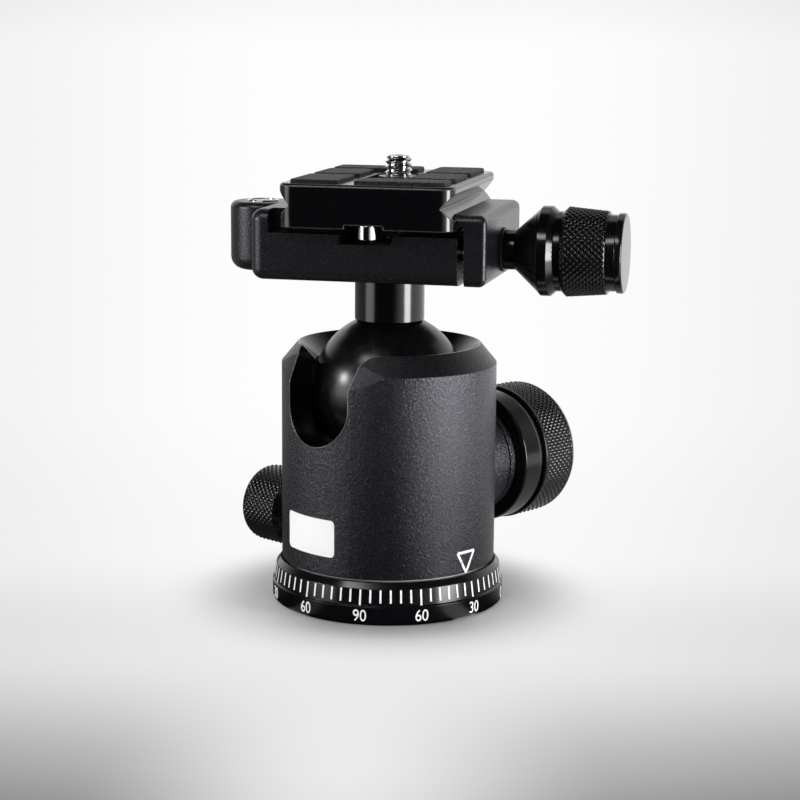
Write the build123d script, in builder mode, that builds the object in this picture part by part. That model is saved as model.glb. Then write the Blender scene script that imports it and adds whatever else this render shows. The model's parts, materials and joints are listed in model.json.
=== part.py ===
from build123d import *
from math import cos, radians, sin, sqrt
import os

# Tripod ball head, in millimetres.
# +Z is up and the origin is the centre of the base's underside, at the mouth of the tripod thread.
# X runs along the clamp screw, with the clamp knob at +X. Y runs along the plate's dovetail.
# A direction on the housing is an angle in degrees from -Y towards +X.

os.makedirs("parts", exist_ok=True)

# ---------------------------------------------------------------- fits and edges
STATIC_FIT = 0.03  # between pieces that are pressed or screwed together
RUNNING_FIT = 0.06  # radial, between a shaft and its bore
SLIDE_GAP = 0.05  # between flat faces that slide or turn on each other
BALL_GAP = 0.25  # between the ball and what it turns in
MOVING_GAP = 0.3  # between other faces that pass each other
DOVETAIL_FIT = 0.1  # between the plate's dovetail and the clamp's lips
EDGE_BREAK = 0.3  # small chamfer on turned edges
OVERRUN = 1.0  # how far a cutting shape runs past what it cuts

# ---------------------------------------------------------------- ball, stem and housing
BALL_R = 17.75
BALL_Z = 49.25
STEM_R = 8.0
STEM_REACH = 26.9  # from the ball's centre to the clamp's underside
HOUSING_R = 24.8
BEVEL_WIDTH = 3.7
BEVEL_HEIGHT = 4.4
MOUTH_BEVEL_SHIFT = 10.0  # the steeper bevel beside the slot turns about an axis this far behind
MOUTH_BEVEL_DROP = 4.4  # and starts this much lower in the slot's direction
MOUTH_BEVEL_SLOPE = 2.4  # its rise for each millimetre inwards
RIM_WIDTH = 0.35
RIM_RISE = 4.2  # from the lip's edge to the rim
LIP_RISE = 6.75  # from the ball's centre to the edge of the lip over the liner
LIP_T = 0.6
LIP_OVERLAP = 0.75  # how far the lip reaches over the ball
LINER_WALL = 0.6  # thinnest wall round the ball
LINER_START = 1.5  # from the ball's centre to the liner's underside

# ---------------------------------------------------------------- drop slot
SLOT_ANGLE = -30
SLOT_ROOM = 1.2  # beside the stem
SLOT_DROP = 1.15  # from the ball's centre down to the centre of the slot's round end
SLOT_FLARE_DEPTH = 8.4  # from the rim down to where the front side starts to lean outwards
SLOT_FLARE = 1.3  # how far it leans by the rim
SLOT_CORNER_R = 3.4  # rounded mouth on the front side
SLOT_BACK_CORNER_R = 1.6  # and on the other side

# ---------------------------------------------------------------- panning base
RING_PROUD = 2.2  # how far the ring stands out of the housing
RING_BAND_Z = 4.3  # top of the band that carries the numbers
RING_STEP = 0.35  # recess of the band that carries the ticks
RING_TAPER = 0.9  # how far in the tick band's upper edge is
RING_TICK_Z = 8.3
RING_SHOULDER = 1.0
RING_TOP_Z = 9.6
RING_FOOT_R = 1.1  # rounding of the lower edge
THREAD_R = 9.525 / 2  # 3/8"-16 tripod thread
THREAD_DEPTH = 12.5
SPIGOT_TOP_Z = 19.4
BUSHING_WALL = 3.1
BRAKE_Z = 15.6  # height of the brake groove and of the pan lock
BRAKE_GROOVE_DEPTH = 1.2
BRAKE_GROOVE_HALF = 1.7
PAN_WASHER_T = 0.6
PAN_WASHER_SINK = 0.3  # how far the pan washer is sunk into the ring
PAN_WASHER_IN_ROOM = 1.5  # from the spigot to the pan washer
PAN_WASHER_OUT_ROOM = 0.8  # from the pan washer to the housing's outside
RETAINING_WASHER_T = 0.4
RETAINING_PLATE_T = 1.8
RETAINING_PLATE_ROOM = 1.0  # round the retaining plate
RETAINING_SCREW_R = 1.5
RETAINING_SCREW_LENGTH = 6.0
RETAINING_CIRCLE_R = 10.3
RETAINING_SCREWS = 3

# ---------------------------------------------------------------- seats inside the housing
RETAINER_ROOM = 0.4  # over the retaining plate
RETAINER_T = 1.5
RETAINER_IN_R = 12.0
SPRING_IN_R = 11.0
SPRING_EDGE = 0.9  # how far the spring stays inside the seat's edge
SPRING_T = 0.6
SPRING_RISE = 1.1
SEAT_ROOM = 0.2  # round the seat
SEAT_DROP = 10.85  # from the ball's centre to the top of the seat

# ---------------------------------------------------------------- main lock
# Distances along a knob's axis start at the head's vertical axis.
LOCK_ANGLE = 150
LOCK_DROP = 20.65  # from the ball's centre down to the lock's axis
LOCK_BOSS_R = 13.0
LOCK_BOSS_PROUD = 3.8
LOCK_BUSHING_R = 6.5
LOCK_BUSHING_ROOM = 0.7  # from the chamber to the bushing's end
LOCK_WASHER_SPIGOT_R = 11.4
LOCK_WASHER_SPIGOT_T = 0.3
LOCK_WASHER_T = 1.8
SPINDLE_R = 4.0
SPINDLE_TIP = 9.0
SPINDLE_TIP_R = 1.4
SPINDLE_CONE_END = 15.5
SPINDLE_INSET = 4.5  # from the spindle's end to the grip's end
COLLAR_T = 6.6
COLLAR_R = 15.9
COLLAR_CHAMFER = 0.5
GRIP_GROOVE_T = 0.6
GRIP_GROOVE_R = 15.2
GRIP_R = 16.3
GRIP_LENGTH = 12.8
GRIP_ROUND = 3.6
GRIP_HUB_R = 11.0
GRIP_HUB_INSET = 2.5
GRIP_WEB_R = 6.0  # hole in the grip's end wall, round the knob screw's head
CAP_R = 9.0
CAP_T = 1.2
KNOB_SCREW_R = 1.5
KNOB_SCREW_LENGTH = 6.5
KNOB_SCREW_HEAD_R = 3.4
KNOB_SCREW_HEAD_T = 1.2

# ---------------------------------------------------------------- pan lock
PAN_ANGLE = -120
PAN_BOSS_R = 5.6
PAN_BOSS_PROUD = 1.6
PAN_SCREW_R = 2.5
PAN_SCREW_INSET = 2.5  # from the screw's end to the grip's end
PAN_PAD_LENGTH = 3.1
PAN_PAD_CONE_R = 2.2
PAN_HUB_R = 5.0
PAN_HUB_T = 1.3
PAN_GRIP_LENGTH = 13.5
PAN_GRIP_R = 9.4
PAN_GRIP_CHAMFER = 1.8
PAN_GRIP_ROUND = 2.4
PAN_CAP_R = 4.6
PAN_CAP_T = 1.0

# ---------------------------------------------------------------- stem joint
HUB_R = 6.5  # journal on the stem that the clamp turns on
HUB_T = 3.9
BOLT_R = 3.0
BOLT_TIP_WALL = 2.05  # between the bolt's bore and the top of the ball
BOLT_HEAD_R = 5.0
BOLT_HEAD_T = 3.6
BOLT_SOCKET_R = 2.3
BOLT_SOCKET_DEPTH = 2.2
STEM_WASHER_R = 7.2
STEM_WASHER_T = 1.0

# ---------------------------------------------------------------- quick-release plate
PLATE_HALF_WIDTH = 19.7
PLATE_HALF_LENGTH = 25.2
PLATE_T = 9.7
PLATE_CORNER_R = 3.7
PLATE_FLANGE_T = 1.7
PLATE_FOOT_T = 2.2  # from the underside to where the dovetail starts to slope in
DOVETAIL_DEPTH = 2.77
PLATE_EDGE = 0.5
PLATE_GROOVE_HALF = 4.35
PLATE_GROOVE_DEPTH = 0.9
PAD_T = 0.8
PAD_SIDE_ROOM = 2.3  # from the plate's sides to the pads
PAD_END_ROOM = 2.0  # from the plate's ends to the pads
PAD_INNER_X = 6.6
PAD_SIDE_START_Y = 5.5
PAD_MIDDLE_START_Y = 3.4
PAD_MIDDLE_END_Y = -12.0
PAD_CROSS_Y = 14.0
PAD_CROSS_X = 3.0
PAD_CORNER_R = 1.6
STOP_X = 0.5
STOP_INSET = 2.0  # from the plate's ends
STOP_HEAD_R = 2.1
STOP_HEAD_DROP = 2.3  # how far the heads hang below the plate
STOP_R = 1.25
STOP_LENGTH = 5.0
STOP_SOCKET_R = 1.0
STOP_SOCKET_DEPTH = 1.1

# ---------------------------------------------------------------- clamp, heights from its underside
PLATE_RISE = 12.25
CLAMP_STEP_RISE = 10.65  # low steps at both ends
LIP_TOP_RISE = 15.75
NOTCH_RISE = 8.55
SCREW_RISE = 6.25  # clamp screw
PLATE_OVERHANG = 4.0  # how far the plate stands out at each end
CLAMP_STEP_T = 4.8  # how far the deck and the fixed lip are set back
CHANNEL_ROOM = 3.1  # from the plate to the wall beside the low steps
LIP_ROOT_ROOM = 1.75  # from the plate to the foot of each lip's sloping face
LIP_TIP_T = 0.35
CLAMP_WALL = 5.75  # fixed side, from the lip's foot out
CLAMP_EDGE_ROOM = 0.3  # how far the body reaches past the plate towards the jaw
CLAMP_ROUND = 2.5  # long edges on the fixed side
CLAMP_END_ROUND = 3.0  # upright edges on the fixed side
NOTCH_X = -0.6
NOTCH_HALF = 6.25
NOTCH_REACH = 10.5
JAW_WALL = 4.85
JAW_ROUND = 1.8
JAW_END_ROUND = 1.1

LEVEL_REACH = 3.0  # from the fixed side to the level's axis
LEVEL_BOSS_R = 7.5
LEVEL_BOSS_FOOT_R = 3.0  # rounding of its lower edge
LEVEL_BOSS_TOP_R = 1.5
LEVEL_CUP_R = 3.7
LEVEL_CUP_T = 5.0
LEVEL_CUP_PROUD = 0.3
LEVEL_CUP_FLOOR_T = 0.8
LEVEL_VIAL_R = 3.0
LEVEL_VIAL_DOME = 0.5

PIN_R = 2.0
PIN_Y = 14.0
PIN_DEPTH = 12.0  # of a guide pin in the clamp body
PIN_BORE_ROOM = 0.5  # behind the pin
PIN_WALL = 1.3  # from the pin's end to the jaw's outside
JAW_SPRING_R = 4.1  # mean radius of the coil
JAW_SPRING_WIRE_R = 0.35
JAW_SPRING_DEPTH = 5.6
JAW_SPRING_PITCH = 1.6
JAW_SPRING_POCKET_R = 4.9
CLAMP_SCREW_R = 3.0
CLAMP_SCREW_DEPTH = 10.4  # in the clamp body
CLAMP_BORE_ROOM = 0.6  # behind the screw

# ---------------------------------------------------------------- clamp knob, distances from the jaw
KNOB_SHAFT_R = 4.5
KNOB_WASHER_R = 5.0
KNOB_WASHER_T = 0.5
KNOB_CONE_START = 3.1
KNOB_CONE_END = 8.1
KNOB_CONE_R = 9.1
KNOB_FLANGE_START = 9.1
KNOB_FLANGE_R = 10.15
KNOB_FLANGE_END = 11.2
KNOB_NECK_START = 12.5
KNOB_NECK_R = 9.0
KNOB_HUB_R = 7.0
KNOB_GRIP_START = 13.8
KNOB_GRIP_R = 10.15
KNOB_GRIP_END_R = 9.35
KNOB_GRIP_CHAMFER = 1.1
KNOB_GRIP_END = 24.1
CLAMP_SCREW_INSET = 1.4  # from the screw's end to the grip's end
KNOB_END_NECK_R = 8.6
KNOB_DISC_START = 26.2
KNOB_DISC_R = 9.0
KNOB_DISC_CHAMFER = 0.6
KNOB_END = 27.8

# ---------------------------------------------------------------- camera screw
SCREW_Y = 8.0
SCREW_R = 6.35 / 2  # 1/4"-20 camera screw
SCREW_SHANK_R = 2.9
SCREW_HEAD_R = 5.8
SCREW_HEAD_T = 2.4
SCREW_HEAD_SINK = 0.8  # from the plate's underside up to the head
SCREW_COIN_SLOT = 1.2
SCREW_COIN_DEPTH = 1.3
SCREW_THREAD_ROOM = 0.1  # from the plate's top to the start of the thread
SCREW_REACH = 4.4  # from the plate's top to the tip
SCREW_TIP_CHAMFER = 0.5
SCREW_SLOT_ROOM = 0.4  # beside the shank
SCREW_SLOT_REACH = 8.0  # the screw's travel each way from the plate's middle
TOP_RECESS_DEPTH = 1.0
CLIP_R = 4.6
CLIP_T = 0.6
CLIP_ROOM = 0.4  # beside the clip in the recess

# ---------------------------------------------------------------- working values
SOCKET_R = BALL_R + BALL_GAP
CHAMBER_R = SOCKET_R + LINER_WALL
LIP_R = BALL_R - LIP_OVERLAP
LIP_Z = BALL_Z + LIP_RISE
THROAT_Z = LIP_Z - LIP_T
LINER_BOTTOM_Z = BALL_Z + LINER_START
RIM_Z = LIP_Z + RIM_RISE
RIM_R = HOUSING_R - BEVEL_WIDTH
BEVEL_Z = RIM_Z - BEVEL_HEIGHT
MOUTH_BEVEL_Z = BEVEL_Z - MOUTH_BEVEL_DROP
MOUTH_BEVEL_R = HOUSING_R + MOUTH_BEVEL_SHIFT
SLOT_HALF = STEM_R + SLOT_ROOM
SLOT_Z = BALL_Z - SLOT_DROP
SLOT_FLARE_Z = RIM_Z - SLOT_FLARE_DEPTH

RING_R = HOUSING_R + RING_PROUD
RING_TOP_R = RING_R - RING_TAPER
RING_SHOULDER_R = RING_TOP_R - RING_SHOULDER
SPIGOT_R = CHAMBER_R - BUSHING_WALL
PAN_WASHER_IN_R = SPIGOT_R + PAN_WASHER_IN_ROOM
PAN_WASHER_OUT_R = HOUSING_R - PAN_WASHER_OUT_ROOM
RETAINING_PLATE_R = CHAMBER_R - RETAINING_PLATE_ROOM
HOUSING_Z = RING_TOP_Z + PAN_WASHER_T - PAN_WASHER_SINK
SHOULDER_Z = SPIGOT_TOP_Z - RETAINING_WASHER_T
RETAINER_Z = SPIGOT_TOP_Z + RETAINING_PLATE_T + RETAINER_ROOM
RETAINER_TOP_Z = RETAINER_Z + RETAINER_T
SEAT_Z = RETAINER_TOP_Z + SPRING_T + SPRING_RISE
SEAT_TOP_Z = BALL_Z - SEAT_DROP
SEAT_R = CHAMBER_R - SEAT_ROOM
SPRING_OUT_R = SEAT_R - SPRING_EDGE

LOCK_Z = BALL_Z - LOCK_DROP
LOCK_BOSS_END = HOUSING_R + LOCK_BOSS_PROUD
LOCK_BUSHING_START = CHAMBER_R + LOCK_BUSHING_ROOM
LOCK_WASHER_START = LOCK_BOSS_END + LOCK_WASHER_SPIGOT_T
LOCK_WASHER_END = LOCK_WASHER_START + LOCK_WASHER_T
COLLAR_START = LOCK_WASHER_END + MOVING_GAP
COLLAR_END = COLLAR_START + COLLAR_T
GRIP_START = COLLAR_END + GRIP_GROOVE_T
GRIP_END = GRIP_START + GRIP_LENGTH
GRIP_HUB_END = GRIP_END - GRIP_HUB_INSET
SPINDLE_END = GRIP_END - SPINDLE_INSET

PAN_BOSS_END = HOUSING_R + PAN_BOSS_PROUD
PAN_HUB_START = PAN_BOSS_END + MOVING_GAP
PAN_GRIP_START = PAN_HUB_START + PAN_HUB_T
PAN_GRIP_END = PAN_GRIP_START + PAN_GRIP_LENGTH
PAN_SCREW_END = PAN_GRIP_END - PAN_SCREW_INSET
PAD_TIP = SPIGOT_R - BRAKE_GROOVE_DEPTH + MOVING_GAP
PAN_SCREW_START = PAD_TIP + PAN_PAD_LENGTH

CLAMP_Z = BALL_Z + STEM_REACH
HUB_TOP_Z = CLAMP_Z + HUB_T
BOLT_DEPTH = HUB_TOP_Z - BALL_Z - BALL_R - BOLT_TIP_WALL
CLAMP_STEP_Z = CLAMP_Z + CLAMP_STEP_RISE
LIP_TOP_Z = CLAMP_Z + LIP_TOP_RISE
NOTCH_Z = CLAMP_Z + NOTCH_RISE
SCREW_Z = CLAMP_Z + SCREW_RISE

PLATE_Z = CLAMP_Z + PLATE_RISE
PLATE_TOP_Z = PLATE_Z + PLATE_T
PLATE_FLANGE_Z = PLATE_TOP_Z - PLATE_FLANGE_T
PLATE_FOOT_Z = PLATE_Z + PLATE_FOOT_T
DOVETAIL_APEX_Z = PLATE_FOOT_Z + DOVETAIL_DEPTH
DECK_Z = PLATE_Z - SLIDE_GAP
PAD_OUTER_X = PLATE_HALF_WIDTH - PAD_SIDE_ROOM
PAD_OUTER_Y = PLATE_HALF_LENGTH - PAD_END_ROOM
STOP_Y = PLATE_HALF_LENGTH - STOP_INSET
STOP_HEAD_Z = PLATE_Z - STOP_HEAD_DROP
STOP_SEAT_Z = PLATE_Z + PLATE_GROOVE_DEPTH

CLAMP_HALF = PLATE_HALF_LENGTH - PLATE_OVERHANG
CLAMP_RIGHT = PLATE_HALF_WIDTH + CLAMP_EDGE_ROOM
CHANNEL_X = -PLATE_HALF_WIDTH - CHANNEL_ROOM
LIP_ROOT_X = PLATE_HALF_WIDTH + LIP_ROOT_ROOM
LIP_SUM = PLATE_HALF_WIDTH + PLATE_FOOT_Z + DOVETAIL_FIT * sqrt(2)  # x + z on a lip's slope
LIP_X = LIP_SUM - LIP_TOP_Z + LIP_TIP_T
CLAMP_LEFT = -LIP_ROOT_X - CLAMP_WALL
JAW_OUTER = LIP_ROOT_X + JAW_WALL
LEVEL_X = CLAMP_LEFT - LEVEL_REACH
LEVEL_FLOOR_Z = LIP_TOP_Z + LEVEL_CUP_PROUD - LEVEL_CUP_T
PIN_START = CLAMP_RIGHT - PIN_DEPTH
PIN_BORE_START = PIN_START - PIN_BORE_ROOM
PIN_END = JAW_OUTER - PIN_WALL
JAW_SPRING_START = CLAMP_RIGHT - JAW_SPRING_DEPTH
SPRING_LENGTH = LIP_ROOT_X - JAW_SPRING_START - JAW_SPRING_WIRE_R
CLAMP_SCREW_START = CLAMP_RIGHT - CLAMP_SCREW_DEPTH
CLAMP_SCREW_END = JAW_OUTER + KNOB_GRIP_END - CLAMP_SCREW_INSET
CLAMP_BORE_START = CLAMP_SCREW_START - CLAMP_BORE_ROOM
KNOB_START = KNOB_WASHER_T + SLIDE_GAP

SCREW_HEAD_Z = PLATE_Z + SCREW_HEAD_SINK
SCREW_WEB_Z = SCREW_HEAD_Z + SCREW_HEAD_T + SLIDE_GAP
SCREW_THREAD_Z = PLATE_TOP_Z + SCREW_THREAD_ROOM
SCREW_TIP_Z = PLATE_TOP_Z + SCREW_REACH
SCREW_SLOT_HALF = SCREW_SHANK_R + SCREW_SLOT_ROOM
TOP_RECESS_Z = PLATE_TOP_Z - TOP_RECESS_DEPTH
TOP_RECESS_HALF = CLIP_R + CLIP_ROOM


def outward(angle):
    """The horizontal unit vector in a direction on the housing."""
    return Vector(sin(radians(angle)), -cos(radians(angle)), 0)


def facing(angle, distance=0.0, height=0.0):
    """A plane that faces outwards, with its own x level and its own y pointing up."""
    out = outward(angle)
    return Plane(out * distance + Vector(0, 0, height), x_dir=outward(angle + 90), z_dir=out)


def along(angle, height):
    """A plane through a horizontal axis: its own x is the distance along it, its y points up."""
    return Plane((0, 0, height), x_dir=outward(angle), z_dir=outward(angle - 90))


def slot_cutter(grow=0.0):
    """The drop slot with its rounded mouth, each side moved out by grow."""
    half = SLOT_HALF + grow
    lean = half + SLOT_FLARE
    top = RIM_Z + OVERRUN
    with BuildPart() as cutter:
        with BuildSketch(facing(SLOT_ANGLE)) as mouth:
            Polygon(
                (half, SLOT_Z),
                (half, SLOT_FLARE_Z),
                (lean, RIM_Z),
                (HOUSING_R, RIM_Z),
                (HOUSING_R, top),
                (-HOUSING_R, top),
                (-HOUSING_R, RIM_Z),
                (-half, RIM_Z),
                (-half, SLOT_Z),
                align=None,
            )
            fillet(mouth.vertices().sort_by_distance((lean, RIM_Z))[0], SLOT_CORNER_R)
            fillet(mouth.vertices().sort_by_distance((-half, RIM_Z))[0], SLOT_BACK_CORNER_R)
            with Locations((0, SLOT_Z)):
                Circle(half)
        extrude(amount=HOUSING_R + OVERRUN)
    return cutter.part


MOUTH_PLANE = Plane(
    outward(SLOT_ANGLE) * -MOUTH_BEVEL_SHIFT,
    x_dir=outward(SLOT_ANGLE),
    z_dir=outward(SLOT_ANGLE - 90),
)
LOCK_PLANE = along(LOCK_ANGLE, LOCK_Z)
LOCK_AXIS = Axis((0, 0, LOCK_Z), outward(LOCK_ANGLE))
PAN_PLANE = along(PAN_ANGLE, BRAKE_Z)
PAN_AXIS = Axis((0, 0, BRAKE_Z), outward(PAN_ANGLE))
KNOB_PLANE = Plane((JAW_OUTER, 0, SCREW_Z), x_dir=outward(90), z_dir=outward(0))
SCREW_AXIS = Axis((0, 0, SCREW_Z), (1, 0, 0))

# ================================================================ panning base
with BuildPart() as pan_base:
    with BuildSketch(Plane.XZ):
        Polygon(
            (0, 0),
            (RING_R, 0),
            (RING_R, RING_BAND_Z),
            (RING_R - RING_STEP, RING_BAND_Z + RING_STEP),
            (RING_TOP_R, RING_TICK_Z),
            (RING_SHOULDER_R, RING_TOP_Z),
            (SPIGOT_R, RING_TOP_Z),
            (SPIGOT_R, BRAKE_Z - BRAKE_GROOVE_HALF),
            (SPIGOT_R - BRAKE_GROOVE_DEPTH, BRAKE_Z),
            (SPIGOT_R, BRAKE_Z + BRAKE_GROOVE_HALF),
            (SPIGOT_R, SPIGOT_TOP_Z),
            (0, SPIGOT_TOP_Z),
            align=None,
        )
    revolve(axis=Axis.Z)
    fillet(pan_base.faces().sort_by(Axis.Z)[0].edges(), RING_FOOT_R)
    with BuildSketch(Plane.XY.offset(RING_TOP_Z)):
        Circle(PAN_WASHER_OUT_R + STATIC_FIT)
        Circle(PAN_WASHER_IN_R - STATIC_FIT, mode=Mode.SUBTRACT)
    extrude(amount=-PAN_WASHER_SINK, mode=Mode.SUBTRACT)
    with BuildSketch(Plane.XY):
        Circle(THREAD_R)
    extrude(amount=THREAD_DEPTH, mode=Mode.SUBTRACT)
    with BuildSketch(Plane.XY.offset(SPIGOT_TOP_Z)):
        with PolarLocations(RETAINING_CIRCLE_R, RETAINING_SCREWS):
            Circle(RETAINING_SCREW_R + STATIC_FIT)
    extrude(amount=-RETAINING_SCREW_LENGTH, mode=Mode.SUBTRACT)

pan_base.part.label = "pan_base"
export_step(pan_base.part, "parts/pan_base.step")

with BuildPart() as pan_washer:
    with BuildSketch(Plane.XY.offset(HOUSING_Z)):
        Circle(PAN_WASHER_OUT_R)
        Circle(PAN_WASHER_IN_R, mode=Mode.SUBTRACT)
    extrude(amount=-PAN_WASHER_T)

pan_washer.part.label = "pan_washer"
export_step(pan_washer.part, "parts/pan_washer.step")

with BuildPart() as retaining_washer:
    with BuildSketch(Plane.XY.offset(SHOULDER_Z)):
        Circle(RETAINING_PLATE_R)
        Circle(SPIGOT_R + STATIC_FIT, mode=Mode.SUBTRACT)
    extrude(amount=RETAINING_WASHER_T)

retaining_washer.part.label = "retaining_washer"
export_step(retaining_washer.part, "parts/retaining_washer.step")

with BuildPart() as retaining_plate:
    with BuildSketch(Plane.XY.offset(SPIGOT_TOP_Z)):
        Circle(RETAINING_PLATE_R)
    extrude(amount=RETAINING_PLATE_T)
    with Locations(Plane.XY.offset(SPIGOT_TOP_Z + RETAINING_PLATE_T)):
        with PolarLocations(RETAINING_CIRCLE_R, RETAINING_SCREWS):
            CounterSinkHole(RETAINING_SCREW_R + STATIC_FIT, 2 * RETAINING_SCREW_R + STATIC_FIT)

retaining_plate.part.label = "retaining_plate"
export_step(retaining_plate.part, "parts/retaining_plate.step")

with BuildPart() as retaining_screws:
    with PolarLocations(RETAINING_CIRCLE_R, RETAINING_SCREWS):
        with Locations((0, 0, SPIGOT_TOP_Z + RETAINING_PLATE_T - RETAINING_SCREW_R / 2)):
            Cone(RETAINING_SCREW_R, 2 * RETAINING_SCREW_R, RETAINING_SCREW_R)
        with Locations((0, 0, SPIGOT_TOP_Z + RETAINING_PLATE_T - RETAINING_SCREW_R)):
            Cylinder(
                RETAINING_SCREW_R,
                RETAINING_SCREW_LENGTH - EDGE_BREAK,
                align=(Align.CENTER, Align.CENTER, Align.MAX),
            )

retaining_screws.part.label = "retaining_screws"
export_step(retaining_screws.part, "parts/retaining_screws.step")

# ================================================================ housing
with BuildPart() as housing:
    with BuildSketch(Plane.XZ):
        Polygon(
            (CHAMBER_R, HOUSING_Z),
            (HOUSING_R - EDGE_BREAK, HOUSING_Z),
            (HOUSING_R, HOUSING_Z + EDGE_BREAK),
            (HOUSING_R, BEVEL_Z),
            (RIM_R, RIM_Z),
            (RIM_R - RIM_WIDTH, RIM_Z),
            (LIP_R, LIP_Z),
            (LIP_R, THROAT_Z),
            (CHAMBER_R, THROAT_Z),
            align=None,
        )
    revolve(axis=Axis.Z)
    # Bosses of the main lock and of the pan lock.
    with BuildSketch(facing(LOCK_ANGLE, LOCK_BOSS_END, LOCK_Z)):
        Circle(LOCK_BOSS_R)
    extrude(amount=LOCK_BUSHING_START - LOCK_BOSS_END)
    with BuildSketch(facing(PAN_ANGLE, PAN_BOSS_END, BRAKE_Z)):
        Circle(PAN_BOSS_R)
    extrude(amount=LOCK_BUSHING_START - PAN_BOSS_END)
    with BuildSketch(facing(LOCK_ANGLE, LOCK_BOSS_END, LOCK_Z)):
        Circle(LOCK_BUSHING_R + STATIC_FIT)
    extrude(amount=-LOCK_BOSS_END, mode=Mode.SUBTRACT)
    with BuildSketch(facing(PAN_ANGLE, PAN_BOSS_END, BRAKE_Z)):
        Circle(PAN_SCREW_R + RUNNING_FIT)
    extrude(amount=-PAN_BOSS_END, mode=Mode.SUBTRACT)
    add(slot_cutter(), mode=Mode.SUBTRACT)
    # Beside the slot's mouth the bevel widens and grows steeper.
    with BuildSketch(MOUTH_PLANE):
        Polygon(
            (MOUTH_BEVEL_R - (RIM_Z + OVERRUN - MOUTH_BEVEL_Z) / MOUTH_BEVEL_SLOPE, RIM_Z + OVERRUN),
            (MOUTH_BEVEL_R + OVERRUN, MOUTH_BEVEL_Z - OVERRUN * MOUTH_BEVEL_SLOPE),
            (MOUTH_BEVEL_R + OVERRUN, RIM_Z + OVERRUN),
            align=None,
        )
    revolve(axis=Axis(MOUTH_PLANE.origin, (0, 0, 1)), mode=Mode.SUBTRACT)

housing.part.label = "housing"
export_step(housing.part, "parts/housing.step")

with BuildPart() as pan_bushing:
    with BuildSketch(Plane.XY.offset(HOUSING_Z)):
        Circle(CHAMBER_R - STATIC_FIT)
        Circle(SPIGOT_R + RUNNING_FIT, mode=Mode.SUBTRACT)
    extrude(amount=SHOULDER_Z - HOUSING_Z)
    with BuildSketch(facing(PAN_ANGLE, 0, BRAKE_Z)):
        Circle(PAN_SCREW_R + RUNNING_FIT)
    extrude(amount=HOUSING_R, mode=Mode.SUBTRACT)

pan_bushing.part.label = "pan_bushing"
export_step(pan_bushing.part, "parts/pan_bushing.step")

with BuildPart() as ball_liner:
    with BuildSketch(Plane.XY.offset(LINER_BOTTOM_Z)):
        Circle(CHAMBER_R - STATIC_FIT)
    extrude(amount=THROAT_Z - LINER_BOTTOM_Z)
    with Locations((0, 0, BALL_Z)):
        Sphere(SOCKET_R, mode=Mode.SUBTRACT)
    add(slot_cutter(MOVING_GAP), mode=Mode.SUBTRACT)

ball_liner.part.label = "ball_liner"
export_step(ball_liner.part, "parts/ball_liner.step")

with BuildPart() as ball_seat:
    with BuildSketch(Plane.XY.offset(SEAT_Z)):
        Circle(SEAT_R)
    extrude(amount=SEAT_TOP_Z - SEAT_Z)
    with Locations((0, 0, BALL_Z)):
        Sphere(SOCKET_R, mode=Mode.SUBTRACT)
    # Conical pocket that the spindle's tip wedges into.
    with BuildSketch(LOCK_PLANE):
        Polygon(
            (SPINDLE_TIP - MOVING_GAP, 0),
            (SPINDLE_TIP - MOVING_GAP, SPINDLE_TIP_R + MOVING_GAP),
            (SPINDLE_CONE_END - MOVING_GAP, SPINDLE_R + MOVING_GAP),
            (HOUSING_R, SPINDLE_R + MOVING_GAP),
            (HOUSING_R, 0),
            align=None,
        )
    revolve(axis=LOCK_AXIS, mode=Mode.SUBTRACT)

ball_seat.part.label = "ball_seat"
export_step(ball_seat.part, "parts/ball_seat.step")

with BuildPart() as seat_spring:
    with BuildSketch(Plane.XZ):
        Polygon(
            (SPRING_IN_R, SEAT_Z - SPRING_T),
            (SPRING_OUT_R, RETAINER_TOP_Z),
            (SPRING_OUT_R, RETAINER_TOP_Z + SPRING_T),
            (SPRING_IN_R, SEAT_Z),
            align=None,
        )
    revolve(axis=Axis.Z)

seat_spring.part.label = "seat_spring"
export_step(seat_spring.part, "parts/seat_spring.step")

with BuildPart() as seat_retainer:
    with BuildSketch(Plane.XY.offset(RETAINER_Z)):
        Circle(CHAMBER_R - STATIC_FIT)
        Circle(RETAINER_IN_R, mode=Mode.SUBTRACT)
    extrude(amount=RETAINER_T)

seat_retainer.part.label = "seat_retainer"
export_step(seat_retainer.part, "parts/seat_retainer.step")

with BuildPart() as lock_bushing:
    with BuildSketch(facing(LOCK_ANGLE, LOCK_BUSHING_START, LOCK_Z)):
        Circle(LOCK_BUSHING_R)
        Circle(SPINDLE_R + RUNNING_FIT, mode=Mode.SUBTRACT)
    extrude(amount=LOCK_BOSS_END - LOCK_BUSHING_START)

lock_bushing.part.label = "lock_bushing"
export_step(lock_bushing.part, "parts/lock_bushing.step")

with BuildPart() as lock_washer:
    with BuildSketch(LOCK_PLANE):
        Polygon(
            (LOCK_BOSS_END, SPINDLE_R + MOVING_GAP),
            (LOCK_BOSS_END, LOCK_WASHER_SPIGOT_R),
            (LOCK_WASHER_START, LOCK_WASHER_SPIGOT_R),
            (LOCK_WASHER_START, LOCK_BOSS_R),
            (LOCK_WASHER_END, LOCK_BOSS_R),
            (LOCK_WASHER_END, SPINDLE_R + MOVING_GAP),
            align=None,
        )
    revolve(axis=LOCK_AXIS)

lock_washer.part.label = "lock_washer"
export_step(lock_washer.part, "parts/lock_washer.step")

with BuildPart() as pan_brake_pad:
    with BuildSketch(PAN_PLANE):
        Polygon(
            (PAD_TIP, 0),
            (PAD_TIP + PAN_PAD_CONE_R * BRAKE_GROOVE_DEPTH / BRAKE_GROOVE_HALF, PAN_PAD_CONE_R),
            (PAN_SCREW_START, PAN_PAD_CONE_R),
            (PAN_SCREW_START, 0),
            align=None,
        )
    revolve(axis=PAN_AXIS)

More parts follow.
